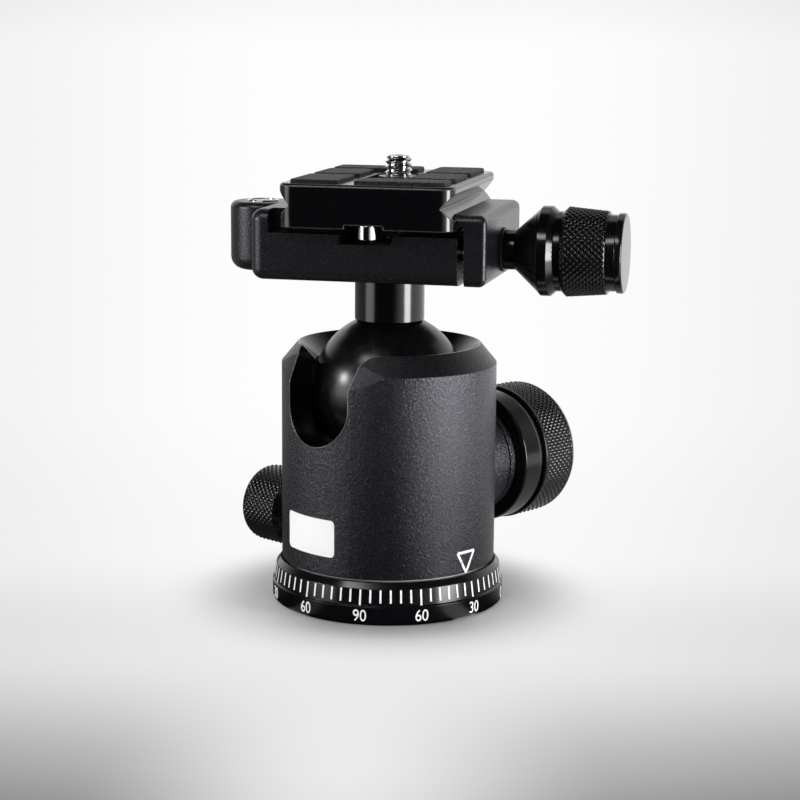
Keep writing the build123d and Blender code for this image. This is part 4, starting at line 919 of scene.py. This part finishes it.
# ---------------------------------------------------------------- pan lock knob
PAN_BORE, PAN_NECK_R, PAN_GRIP_R = 2.53, 5.0, 9.4
PAN_START, PAN_SHOULDER, PAN_CAP_START, PAN_END = 26.7, 28.0, 40.5, 41.5
PAN_GRIP = (
    (PAN_START, PAN_BORE),
    (PAN_START, PAN_NECK_R, 0.2),
    (PAN_SHOULDER, PAN_NECK_R),
    (PAN_SHOULDER, 7.6, 0.15),
    (29.8, PAN_GRIP_R, 0.2),
    (PAN_END, PAN_GRIP_R, 2.4),
    (PAN_END, 4.63, 0.15),
    (PAN_CAP_START, 4.63),
    (PAN_CAP_START, PAN_BORE),
    (PAN_START, PAN_BORE),
)
lathe(
    "pan_grip_knurled",
    PAN_GRIP,
    PAN_AXIS,
    "pan_knob",
    KNURLED,
    **knurl(PAN_GRIP_R, 29.6, 40.3, pitch=1.45, depth=0.3, least=8.0),
    slot="knurled_black",
    replaces=["pan_grip"],
)
PAN_CAP = ((PAN_CAP_START, 0), (PAN_CAP_START, 4.6), (PAN_END, 4.6, 0.25), (PAN_END, 0))
lathe(
    "pan_end_cap",
    PAN_CAP,
    PAN_AXIS,
    "pan_knob",
    SPUN,
    slot="black_anodised",
    replaces=["pan_cap"],
)

# ---------------------------------------------------------------- ball and stem
BALL_STEPS = 96
ball_profile = [(BALL_Z - BALL_R, 0)]
for k in range(1, BALL_STEPS):
    a = math.pi * k / BALL_STEPS
    ball_profile.append((BALL_Z - BALL_R * math.cos(a), BALL_R * math.sin(a)))
ball_profile.append((BALL_Z + BALL_R, 0))
lathe(
    "ball_polished",
    ball_profile,
    UPRIGHT,
    "ball",
    BALL_BLACK,
    slot="black_anodised",
    replaces=["ball"],
)
STEM_R, STEM_TOP, TENON_R, TENON_TOP = 8.0, 76.1, 6.5, 80.05
STEM_CLEAR, STEM_HOLLOW = 0.25, 1.8
STEM_FOOT = BALL_Z + math.sqrt((BALL_R + STEM_CLEAR) ** 2 - STEM_R**2)
STEM = (
    (STEM_FOOT + STEM_HOLLOW, 0),
    (STEM_FOOT + STEM_HOLLOW, 7.4),
    (STEM_FOOT, STEM_R, 0.05),
    (STEM_TOP, STEM_R, 0.25),
    (STEM_TOP, TENON_R),
    (TENON_TOP, TENON_R, 0.2),
    (TENON_TOP, 0),
)
lathe("stem_turned", STEM, UPRIGHT, "stem", GLOSS, slot="black_anodised", replaces=["stem"])

# ---------------------------------------------------------------- clamp
from_cad("clamp_body_coated", "clamp_body", FINE_COATING, "coated_aluminium", 0.4)
from_cad("jaw_coated", "movable_jaw", FINE_COATING, "coated_aluminium", 0.4)
WASHER = ((26.3, 3.06), (26.3, 5.0, 0.1), (26.8, 5.0, 0.12), (26.8, 3.06), (26.3, 3.06))
lathe(
    "knob_washer",
    WASHER,
    SCREW_AXIS,
    "jaw",
    BLACK_PLASTIC,
    slot="black_plastic",
    replaces=["clamp_washer"],
)
KNOB_BORE, KNOB_NECK_R, KNOB_R, KNOB_WAIST_R, KNOB_SLEEVE_R = 3.03, 4.5, 10.15, 9.0, 7.0
KNOB_START, KNOB_HEAD_END, KNOB_SLEEVE_END, KNOB_END = 26.85, 40.2, 50.4, 54.1
KNOB = (
    (KNOB_START, KNOB_BORE),
    (KNOB_START, KNOB_NECK_R, 0.15),
    (29.4, KNOB_NECK_R, 0.1),
    (29.7, 4.8, 0.1),
    (34.4, 9.1, 0.4),
    (35.4, KNOB_R, 0.3),
    (37.5, KNOB_R, 0.3),
    (38.8, KNOB_WAIST_R, 0.3),
    (KNOB_HEAD_END, KNOB_WAIST_R),
    (KNOB_HEAD_END, KNOB_SLEEVE_R),
    (KNOB_SLEEVE_END, KNOB_SLEEVE_R),
    (KNOB_SLEEVE_END, KNOB_BORE),
    (KNOB_START, KNOB_BORE),
)
lathe(
    "knob_cone",
    KNOB,
    SCREW_AXIS,
    "clamp_knob",
    GLOSS,
    224,
    slot="black_anodised",
    replaces=["clamp_knob"],
)
KNOB_GRIP_START, KNOB_GRIP_BORE, KNOB_GRIP_EDGE_R = 40.1, 7.03, 9.05
KNOB_GRIP = (
    (KNOB_GRIP_START, KNOB_GRIP_BORE),
    (KNOB_GRIP_START, KNOB_GRIP_EDGE_R, 0.2),
    (41.2, KNOB_R, 0.3),
    (50.1, 9.38, 0.15),
    (KNOB_SLEEVE_END, KNOB_GRIP_EDGE_R, 0.1),
    (KNOB_SLEEVE_END, KNOB_GRIP_BORE),
    (KNOB_GRIP_START, KNOB_GRIP_BORE),
)
lathe(
    "knob_grip_knurled",
    KNOB_GRIP,
    SCREW_AXIS,
    "clamp_knob",
    KNURLED,
    **knurl(10.1, 40.5, 50.35, pitch=1.5, depth=0.3, least=8.9, fade=0.4),
    slot="knurled_black",
    replaces=["clamp_grip"],
)
KNOB_CAP_STEP = 52.5
KNOB_CAP = (
    (KNOB_SLEEVE_END, 0),
    (KNOB_SLEEVE_END, 8.6),
    (KNOB_CAP_STEP, 8.6, 0.3),
    (KNOB_CAP_STEP, 9.0, 0.15),
    (KNOB_END, 9.0, 0.5),
    (KNOB_END, 0),
)
lathe(
    "knob_end_cap",
    KNOB_CAP,
    SCREW_AXIS,
    "clamp_knob",
    SATIN,
    224,
    slot="black_anodised",
    replaces=["clamp_cap"],
)
SCREW_R, SCREW_START, SCREW_END, THREAD_END = 3.0, 9.6, 49.0, 26.5
CLAMP_SCREW = (
    (SCREW_START, 0),
    (SCREW_START, SCREW_R, 0.4),
    (SCREW_END, SCREW_R, 0.4),
    (SCREW_END, 0),
)
lathe(
    "clamp_screw_threaded",
    CLAMP_SCREW,
    SCREW_AXIS,
    "clamp_knob",
    STEEL,
    96,
    relief=thread(1.0, 0.5, SCREW_START, THREAD_END),
    step=0.12,
    sharp=50,
    slot="steel",
    replaces=["clamp_screw"],
)

LEVEL_X = -30.2
LEVEL_AXIS = along((0, 0, 1), (LEVEL_X, 0, 0))
CUP_FOOT, CUP_TOP, CUP_FLOOR, CUP_BORE = 87.2, 92.2, 88.0, 3.03
LEVEL_CUP = (
    (CUP_FOOT, 0),
    (CUP_FOOT, 3.7),
    (CUP_TOP, 3.7, 0.3),
    (CUP_TOP, CUP_BORE, 0.12),
    (CUP_FLOOR, CUP_BORE),
    (CUP_FLOOR, 0),
)
lathe(
    "level_ring",
    LEVEL_CUP,
    LEVEL_AXIS,
    "clamp",
    CHROME,
    slot="chrome",
    replaces=["level_cup"],
)
LEVEL_VIAL = ((CUP_FLOOR, 0), (CUP_FLOOR, 3.0), (91.9, 3.0, 0.4), (92.1, 1.8), (92.18, 0))
lathe("level_fluid", LEVEL_VIAL, LEVEL_AXIS, "clamp", VIAL, slot="vial", replaces=["level_vial"])

# ---------------------------------------------------------------- quick-release plate
from_cad("plate_finished", "plate", PLATE_BLACK, "black_anodised", 0.25)

PAD_CORNER, PAD_TOP, PAD_FLOOR, PAD_EDGE = 1.6, 98.9, 98.1, 0.3
PADS = ((6.6, 17.4, 5.5, 23.2), (6.6, 17.4, -12.0, 3.4), (-3.0, 17.4, -23.2, -14.0))
# (inset, height) of the loops from a pad's foot to its top
PAD_LOOPS = (
    (0.0, PAD_FLOOR),
    (0.0, PAD_TOP - PAD_EDGE),
    (0.3 * PAD_EDGE, PAD_TOP - 0.35 * PAD_EDGE),
    (PAD_EDGE, PAD_TOP),
)


def rounded_rectangle(x0, x1, y0, y1, radius, height, steps=8):
    corners = ((x1, y1, 0), (x0, y1, 90), (x0, y0, 180), (x1, y0, 270))
    points = []
    for x, y, first in corners:
        cx = x - radius if x == x1 else x + radius
        cy = y - radius if y == y1 else y + radius
        for k in range(steps + 1):
            a = math.radians(first + 90 * k / steps)
            points.append((cx + radius * math.cos(a), cy + radius * math.sin(a), height))
    return points


def pad(x0, x1, y0, y1):
    """One pad with a softly rounded upper edge."""
    loops = []
    for inset, height in PAD_LOOPS:
        box = (x0 + inset, x1 - inset, y0 + inset, y1 - inset)
        loops.append(rounded_rectangle(*box, PAD_CORNER - inset, height))
    points = [p for loop in loops for p in loop]
    n = len(loops[0])
    faces = [list(range(n)), list(range(3 * n, 4 * n))]
    for row in range(3):
        for i in range(n):
            j = (i + 1) % n
            faces.append([row * n + i, row * n + j, (row + 1) * n + j, (row + 1) * n + i])
    return points, faces


pads = [pad(*box) for box in PADS]
pads += [pad(-x1, -x0, -y1, -y0) for x0, x1, y0, y1 in PADS]
pads_mesh = join_meshes("rubber_pads", pads)
even_normals(add_piece("rubber_pads", pads_mesh, "plate", RUBBER, "rubber", ["plate_pads"], 60))

STOP_X, STOP_Y = 0.5, 23.2
STOP_FOOT, STOP_HEAD_END, STOP_END = 86.1, 89.3, 94.0
STOP_HEAD_R, STOP_R, STOP_SOCKET_R = 2.1, 1.25, 1.0
STOP_SOCKET_LOW, STOP_SOCKET_HIGH = 85.0, 87.2
STOP = (
    (STOP_FOOT, 0),
    (STOP_FOOT, STOP_HEAD_R, 0.3),
    (STOP_HEAD_END, STOP_HEAD_R, 0.15),
    (STOP_HEAD_END, STOP_R),
    (STOP_END, STOP_R, 0.2),
    (STOP_END, 0),
)
for side, label in ((-1, "front"), (1, "back")):
    stop = lathe(
        f"stop_screw_{label}",
        STOP,
        along((0, 0, 1), (STOP_X, side * STOP_Y, 0)),
        "plate",
        CHROME,
        64,
        relief=thread(0.5, 0.15, STOP_HEAD_END, STOP_END, least=1.2),
        step=0.1,
        sharp=40,
        slot="chrome",
        replaces=["stop_screws"],
    )
    cut_hexagon(
        stop, STOP_X, side * STOP_Y, STOP_SOCKET_R, STOP_SOCKET_LOW, STOP_SOCKET_HIGH
    )

# ---------------------------------------------------------------- camera screw
CAMERA_SCREW_Y = 8.0
HEAD_FOOT, HEAD_TOP, HEAD_R = 89.2, 91.6, 5.8
SHANK_R, SHANK_TOP, THREAD_R, TIP_Z = 2.9, 98.2, 3.175, 102.5
COIN_HALF_LENGTH, COIN_HALF_WIDTH, COIN_LOW, COIN_HIGH = 7.0, 0.6, 88.0, 90.5
TIP_SOCKET_R, TIP_SOCKET_LOW, TIP_SOCKET_HIGH = 1.35, 101.0, 103.0
CAMERA_SCREW = (
    (HEAD_FOOT, 0),
    (HEAD_FOOT, HEAD_R, 0.3),
    (HEAD_TOP, HEAD_R, 0.15),
    (HEAD_TOP, SHANK_R),
    (SHANK_TOP, SHANK_R),
    (98.48, THREAD_R),
    (101.75, THREAD_R, 0.3),
    (TIP_Z, 2.5, 0.3),
    (TIP_Z, 0),
)
screw = lathe(
    "camera_screw_threaded",
    CAMERA_SCREW,
    along((0, 0, 1), (0, CAMERA_SCREW_Y, 0)),
    "camera_screw",
    CHROME,
    96,
    relief=thread(1.27, 0.62, 98.0, 102.4, least=1.6),
    step=0.1,
    sharp=40,
    slot="chrome",
    replaces=["camera_screw"],
)
coin_sides = (CAMERA_SCREW_Y - COIN_HALF_WIDTH, CAMERA_SCREW_Y + COIN_HALF_WIDTH)
coin_ends = [
    rounded_rectangle(-COIN_HALF_LENGTH, COIN_HALF_LENGTH, *coin_sides, 0.3, height)
    for height in (COIN_LOW, COIN_HIGH)
]
cut(screw, solid_mesh("coin", *prism(*coin_ends)))
cut_hexagon(screw, 0.0, CAMERA_SCREW_Y, TIP_SOCKET_R, TIP_SOCKET_LOW, TIP_SOCKET_HIGH)

# ---------------------------------------------------------------- other CAD nodes
FINISHES = {
    "pan_washer": ACETAL,
    "retaining_washer": STEEL,
    "retaining_plate": STEEL,
    "retaining_screws": STEEL,
    "pan_bushing": BRASS,
    "ball_liner": BLACK_PLASTIC,
    "ball_seat": BLACK_PLASTIC,
    "seat_spring": STEEL,
    "seat_retainer": STEEL,
    "lock_bushing": BRASS,
    "pan_brake_pad": BRASS,
    "lock_spindle": STEEL,
    "lock_knob_screw": STEEL,
    "pan_screw": STEEL,
    "stem_washer": STEEL,
    "stem_bolt": STEEL,
    "guide_pins": STEEL,
    "jaw_spring": STEEL,
    "screw_clip": STEEL,
}
for name, finish in FINISHES.items():
    held = frame["nodes"][name]
    held.data.materials.clear()
    held.data.materials.append(finish)
for name, held in frame["nodes"].items():
    if not held.hide_render and name not in FINISHES:
        raise RuntimeError("no finish is set for " + name)


# ---------------------------------------------------------------- camera
CAMERA_PLACE = Vector((111.45, -464.79, 136.03))
CAMERA_AHEAD = Vector((-0.22410, 0.95701, -0.18415)).normalized()
CAMERA_ROLL = math.radians(0.45)
FOCAL, SENSOR = 94.4, 36.0
CLIP_NEAR, CLIP_FAR = 0.01, 20.0

camera = bpy.data.objects.new("camera", bpy.data.cameras.new("camera"))
camera.data.sensor_width = SENSOR
camera.data.lens = FOCAL
level_right = CAMERA_AHEAD.cross(Vector((0, 0, 1))).normalized()
level_up = level_right.cross(CAMERA_AHEAD)
right = level_right * math.cos(CAMERA_ROLL) + level_up * math.sin(CAMERA_ROLL)
up = right.cross(CAMERA_AHEAD)
camera.matrix_world = Matrix((right, up, -CAMERA_AHEAD)).transposed().to_4x4()
camera.location = CAMERA_PLACE * MM
camera.data.clip_start = CLIP_NEAR
camera.data.clip_end = CLIP_FAR
bpy.context.scene.collection.objects.link(camera)
bpy.context.scene.camera = camera

# ---------------------------------------------------------------- stage and light
# Distances are in metres from here on. A fade is (start, end, value before, value after). It runs
# over metres on the floor, and over a cosine or a height for a direction.
KEY_ANGLE, LEFT_ANGLE = 74, -55
CAMERA_GROUND = Vector((CAMERA_AHEAD.x, CAMERA_AHEAD.y, 0)).normalized()
CAMERA_SIDE = Vector((CAMERA_GROUND.y, -CAMERA_GROUND.x, 0))
SIDES = (0.05, 0.25, 1.0, 0.88)


def fade(tree, factor, limits):
    return between(tree, factor, *limits, "SMOOTHSTEP")


def dot(tree, point, direction):
    inputs = {0: point, 1: tuple(direction)}
    made = node(tree, "ShaderNodeVectorMath", inputs, operation="DOT_PRODUCT")
    return made.outputs["Value"]


def mix(tree, factor, first, second):
    return node(tree, "ShaderNodeMixShader", {0: factor, 1: first, 2: second}).outputs[0]


def white(tree, kind, strength):
    return node(tree, kind, {"Color": (1, 1, 1, 1), "Strength": strength}).outputs[0]


def sideways_tone(tree, aside, ahead):
    """The backdrop's painted shade, falling off towards both sides of the picture."""
    turn = maths(tree, "ABSOLUTE", maths(tree, "DIVIDE", aside, ahead))
    return fade(tree, turn, SIDES)


# Glossy rays see a backdrop behind the object only, and the camera sees a pale one all round.
SOFT_LIGHT = 0.34
MIRRORED_BEHIND, MIRRORED_LOW = (0.15, 0.7, 0.02, 1.0), (0.3, 0.75, 1.0, 0.04)
HORIZON = (-0.02, 0.006, 0.985, 0.93)

world = bpy.data.worlds.new("studio")
bpy.context.scene.world = world
world.use_nodes = True
tree = world.node_tree
tree.nodes.clear()
rays = node(tree, "ShaderNodeLightPath").outputs
direction = node(tree, "ShaderNodeTexCoord").outputs["Generated"]
height = dot(tree, direction, (0, 0, 1))
behind = fade(tree, dot(tree, direction, (0, 1, 0)), MIRRORED_BEHIND)
backdrop = maths(tree, "MULTIPLY", behind, fade(tree, height, MIRRORED_LOW))
across = dot(tree, direction, CAMERA_SIDE)
edge = sideways_tone(tree, across, dot(tree, direction, CAMERA_GROUND))
skyline = maths(tree, "MULTIPLY", edge, fade(tree, height, HORIZON))
soft = white(tree, "ShaderNodeBackground", SOFT_LIGHT)
lit = mix(tree, rays["Is Glossy Ray"], soft, white(tree, "ShaderNodeBackground", backdrop))
whole = mix(tree, rays["Is Camera Ray"], lit, white(tree, "ShaderNodeBackground", skyline))
node(tree, "ShaderNodeOutputWorld", {"Surface": whole})


def beside(angle, distance, height):
    return outward(angle) * distance + Vector((0, 0, height))


def area_light(name, place, target, size, power):
    """A soft box that faces a point of the object."""
    data = bpy.data.lights.new(name, "AREA")
    data.shape = "RECTANGLE"
    data.size, data.size_y = size
    data.energy = power
    light = bpy.data.objects.new(name, data)
    light.location = place
    light.rotation_mode = "QUATERNION"
    ahead = Vector(target) - Vector(place)
    light.rotation_quaternion = ahead.to_track_quat("-Z", "Y")
    bpy.context.scene.collection.objects.link(light)


STRIP_DISTANCE, STRIP_HEIGHT = 0.34, 0.17


def strip(name, angle, width, power):
    """An upright strip light that stands on the floor beside the object."""
    middle = STRIP_HEIGHT / 2
    size = (width, STRIP_HEIGHT)
    area_light(name, beside(angle, STRIP_DISTANCE, middle), (0, 0, middle), size, power)


strip("key_right", KEY_ANGLE, width=0.13, power=1.1)
strip("edge_left", LEFT_ANGLE, width=0.2, power=0.24)
area_light("spot_left", beside(-60, 0.4, 0.155), (0, 0, 0.05), size=(0.07, 0.07), power=0.44)
area_light("top_front", beside(-20, 0.34, 0.4), (0.03, 0, 0.07), size=(0.3, 0.09), power=0.6)
area_light("top_back", (0.05, 0.45, 0.7), (0, 0, 0.055), size=(0.6, 0.3), power=0.4)

FLOOR_HALF, FLOOR_GREY = 6.0, 0.8
floor_mesh = bpy.data.meshes.new("floor")
floor_mesh.from_pydata(
    [(x * FLOOR_HALF, y * FLOOR_HALF, 0) for x, y in ((-1, -1), (1, -1), (1, 1), (-1, 1))],
    [],
    [(0, 1, 2, 3)],
)
floor = bpy.data.objects.new("floor", floor_mesh)
bpy.context.scene.collection.objects.link(floor)
floor_finish, tree, shader = material("floor", (FLOOR_GREY,) * 3, 0.6)
point = node(tree, "ShaderNodeTexCoord").outputs["Object"]
reach = node(tree, "ShaderNodeVectorMath", {0: point}, operation="LENGTH").outputs["Value"]
unit = node(tree, "ShaderNodeVectorMath", {0: point}, operation="NORMALIZE").outputs["Vector"]
rays = node(tree, "ShaderNodeLightPath").outputs

# The camera sees a glowing tone that fades into the backdrop, with painted shade towards the viewer
# and in the near corners. A painted shadow round the foot is part of it, and near the foot it gives
# way to the lit floor.
VIEWING_DISTANCE, PATCH_SHIFT = 0.478, 0.007
NEAR_TONE, FAR_TONE = (-0.035, 0.04, 0.83, 0.95), (0.04, 0.25, 0.0, 0.035)
CORNER_SHADE, CORNERS_CLOSE = (0.0, 0.05, 0.0, 0.42), (-0.14, -0.045, 1.0, 0.0)
FRONT_SHADE, PICTURED = (-0.14, -0.115, 0.05, 0.0), (-0.32, -0.15, 0.0, 1.0)
SHADOW_ANGLE, SHADOW_LEE = 13, (0.5, 0.97, 0.0, 0.42)
SHADOW_TIGHT, SHADOW_WIDE = (0.026, 0.04, 1.0, 0.0), (0.03, 0.056, 0.8, 1.0)
LIT_FLOOR_ENDS = (0.026, 0.05, 0.1, 1.0)

ahead = dot(tree, point, CAMERA_GROUND)
aside = dot(tree, point, CAMERA_SIDE)
level = maths(tree, "ADD", fade(tree, ahead, NEAR_TONE), fade(tree, ahead, FAR_TONE))
edge = sideways_tone(tree, aside, maths(tree, "ADD", ahead, VIEWING_DISTANCE))
off_centre = maths(tree, "ABSOLUTE", maths(tree, "ADD", aside, PATCH_SHIFT))
corner = fade(tree, off_centre, CORNER_SHADE)
shade = maths(tree, "MULTIPLY", corner, fade(tree, ahead, CORNERS_CLOSE))
shade = maths(tree, "ADD", shade, fade(tree, ahead, FRONT_SHADE))
shade = maths(tree, "MULTIPLY", shade, fade(tree, ahead, PICTURED))
tone = maths(tree, "SUBTRACT", maths(tree, "MULTIPLY", level, edge), shade)
lee = fade(tree, dot(tree, unit, outward(SHADOW_ANGLE)), SHADOW_LEE)
tight = maths(tree, "MULTIPLY", fade(tree, reach, SHADOW_TIGHT), lee)
tight = maths(tree, "SUBTRACT", 1.0, tight)
painted_foot_shadow = maths(tree, "MULTIPLY", tight, fade(tree, reach, SHADOW_WIDE))
tone = maths(tree, "MULTIPLY", tone, painted_foot_shadow)
# The lit floor's own colour carries the same painted shadow round the foot.
tree.links.new(maths(tree, "MULTIPLY", painted_foot_shadow, FLOOR_GREY), shader.inputs["Base Color"])
glow = white(tree, "ShaderNodeEmission", tone)
viewed = mix(tree, fade(tree, reach, LIT_FLOOR_ENDS), shader.outputs[0], glow)

# Glossy rays see a glowing floor, a painted reflection that is dark in front of the object and pale
# beyond, with a painted bright lobe under each strip light and a weaker one close by.
DARK_ANGLE, BACKDROP_FADE = -10, (0.4, 0.85, 1.2, 0.015)
DISTANT, RIGHT_SIDE, BEYOND = (0.09, 0.2, 0.0, 1.0), (-0.2, 0.5, 0.22, 1.0), (-0.4, 0.3, 0.0, 0.35)
FAR_LOBE, FAR_LOBES = (0.975, 0.995), ((KEY_ANGLE, 2.2), (LEFT_ANGLE, 0.5))
NEAR_LOBE, NEAR_LOBES = (0.985, 0.998), ((56, 0.9), (-38, 0.3))

distant = fade(tree, reach, DISTANT)
backdrop = fade(tree, dot(tree, unit, outward(DARK_ANGLE)), BACKDROP_FADE)
right_side = fade(tree, dot(tree, unit, CAMERA_SIDE), RIGHT_SIDE)
beyond = fade(tree, dot(tree, unit, CAMERA_GROUND), BEYOND)
open_floor = maths(tree, "MAXIMUM", distant, beyond)
pattern = maths(tree, "MULTIPLY", maths(tree, "MULTIPLY", backdrop, open_floor), right_side)
close_by = maths(tree, "SUBTRACT", 1.0, distant)
for edges, lobes, where in ((FAR_LOBE, FAR_LOBES, distant), (NEAR_LOBE, NEAR_LOBES, close_by)):
    for angle, strength in lobes:
        lobe = fade(tree, dot(tree, unit, outward(angle)), (*edges, 0.0, strength))
        pattern = maths(tree, "ADD", pattern, maths(tree, "MULTIPLY", lobe, where))
mirrored = white(tree, "ShaderNodeEmission", pattern)
lit = mix(tree, rays["Is Glossy Ray"], shader.outputs[0], mirrored)
whole = mix(tree, rays["Is Camera Ray"], lit, viewed)
tree.links.new(whole, tree.nodes["Material Output"].inputs["Surface"])
floor_mesh.materials.append(floor_finish)

bpy.context.scene.view_settings.view_transform = "Standard"
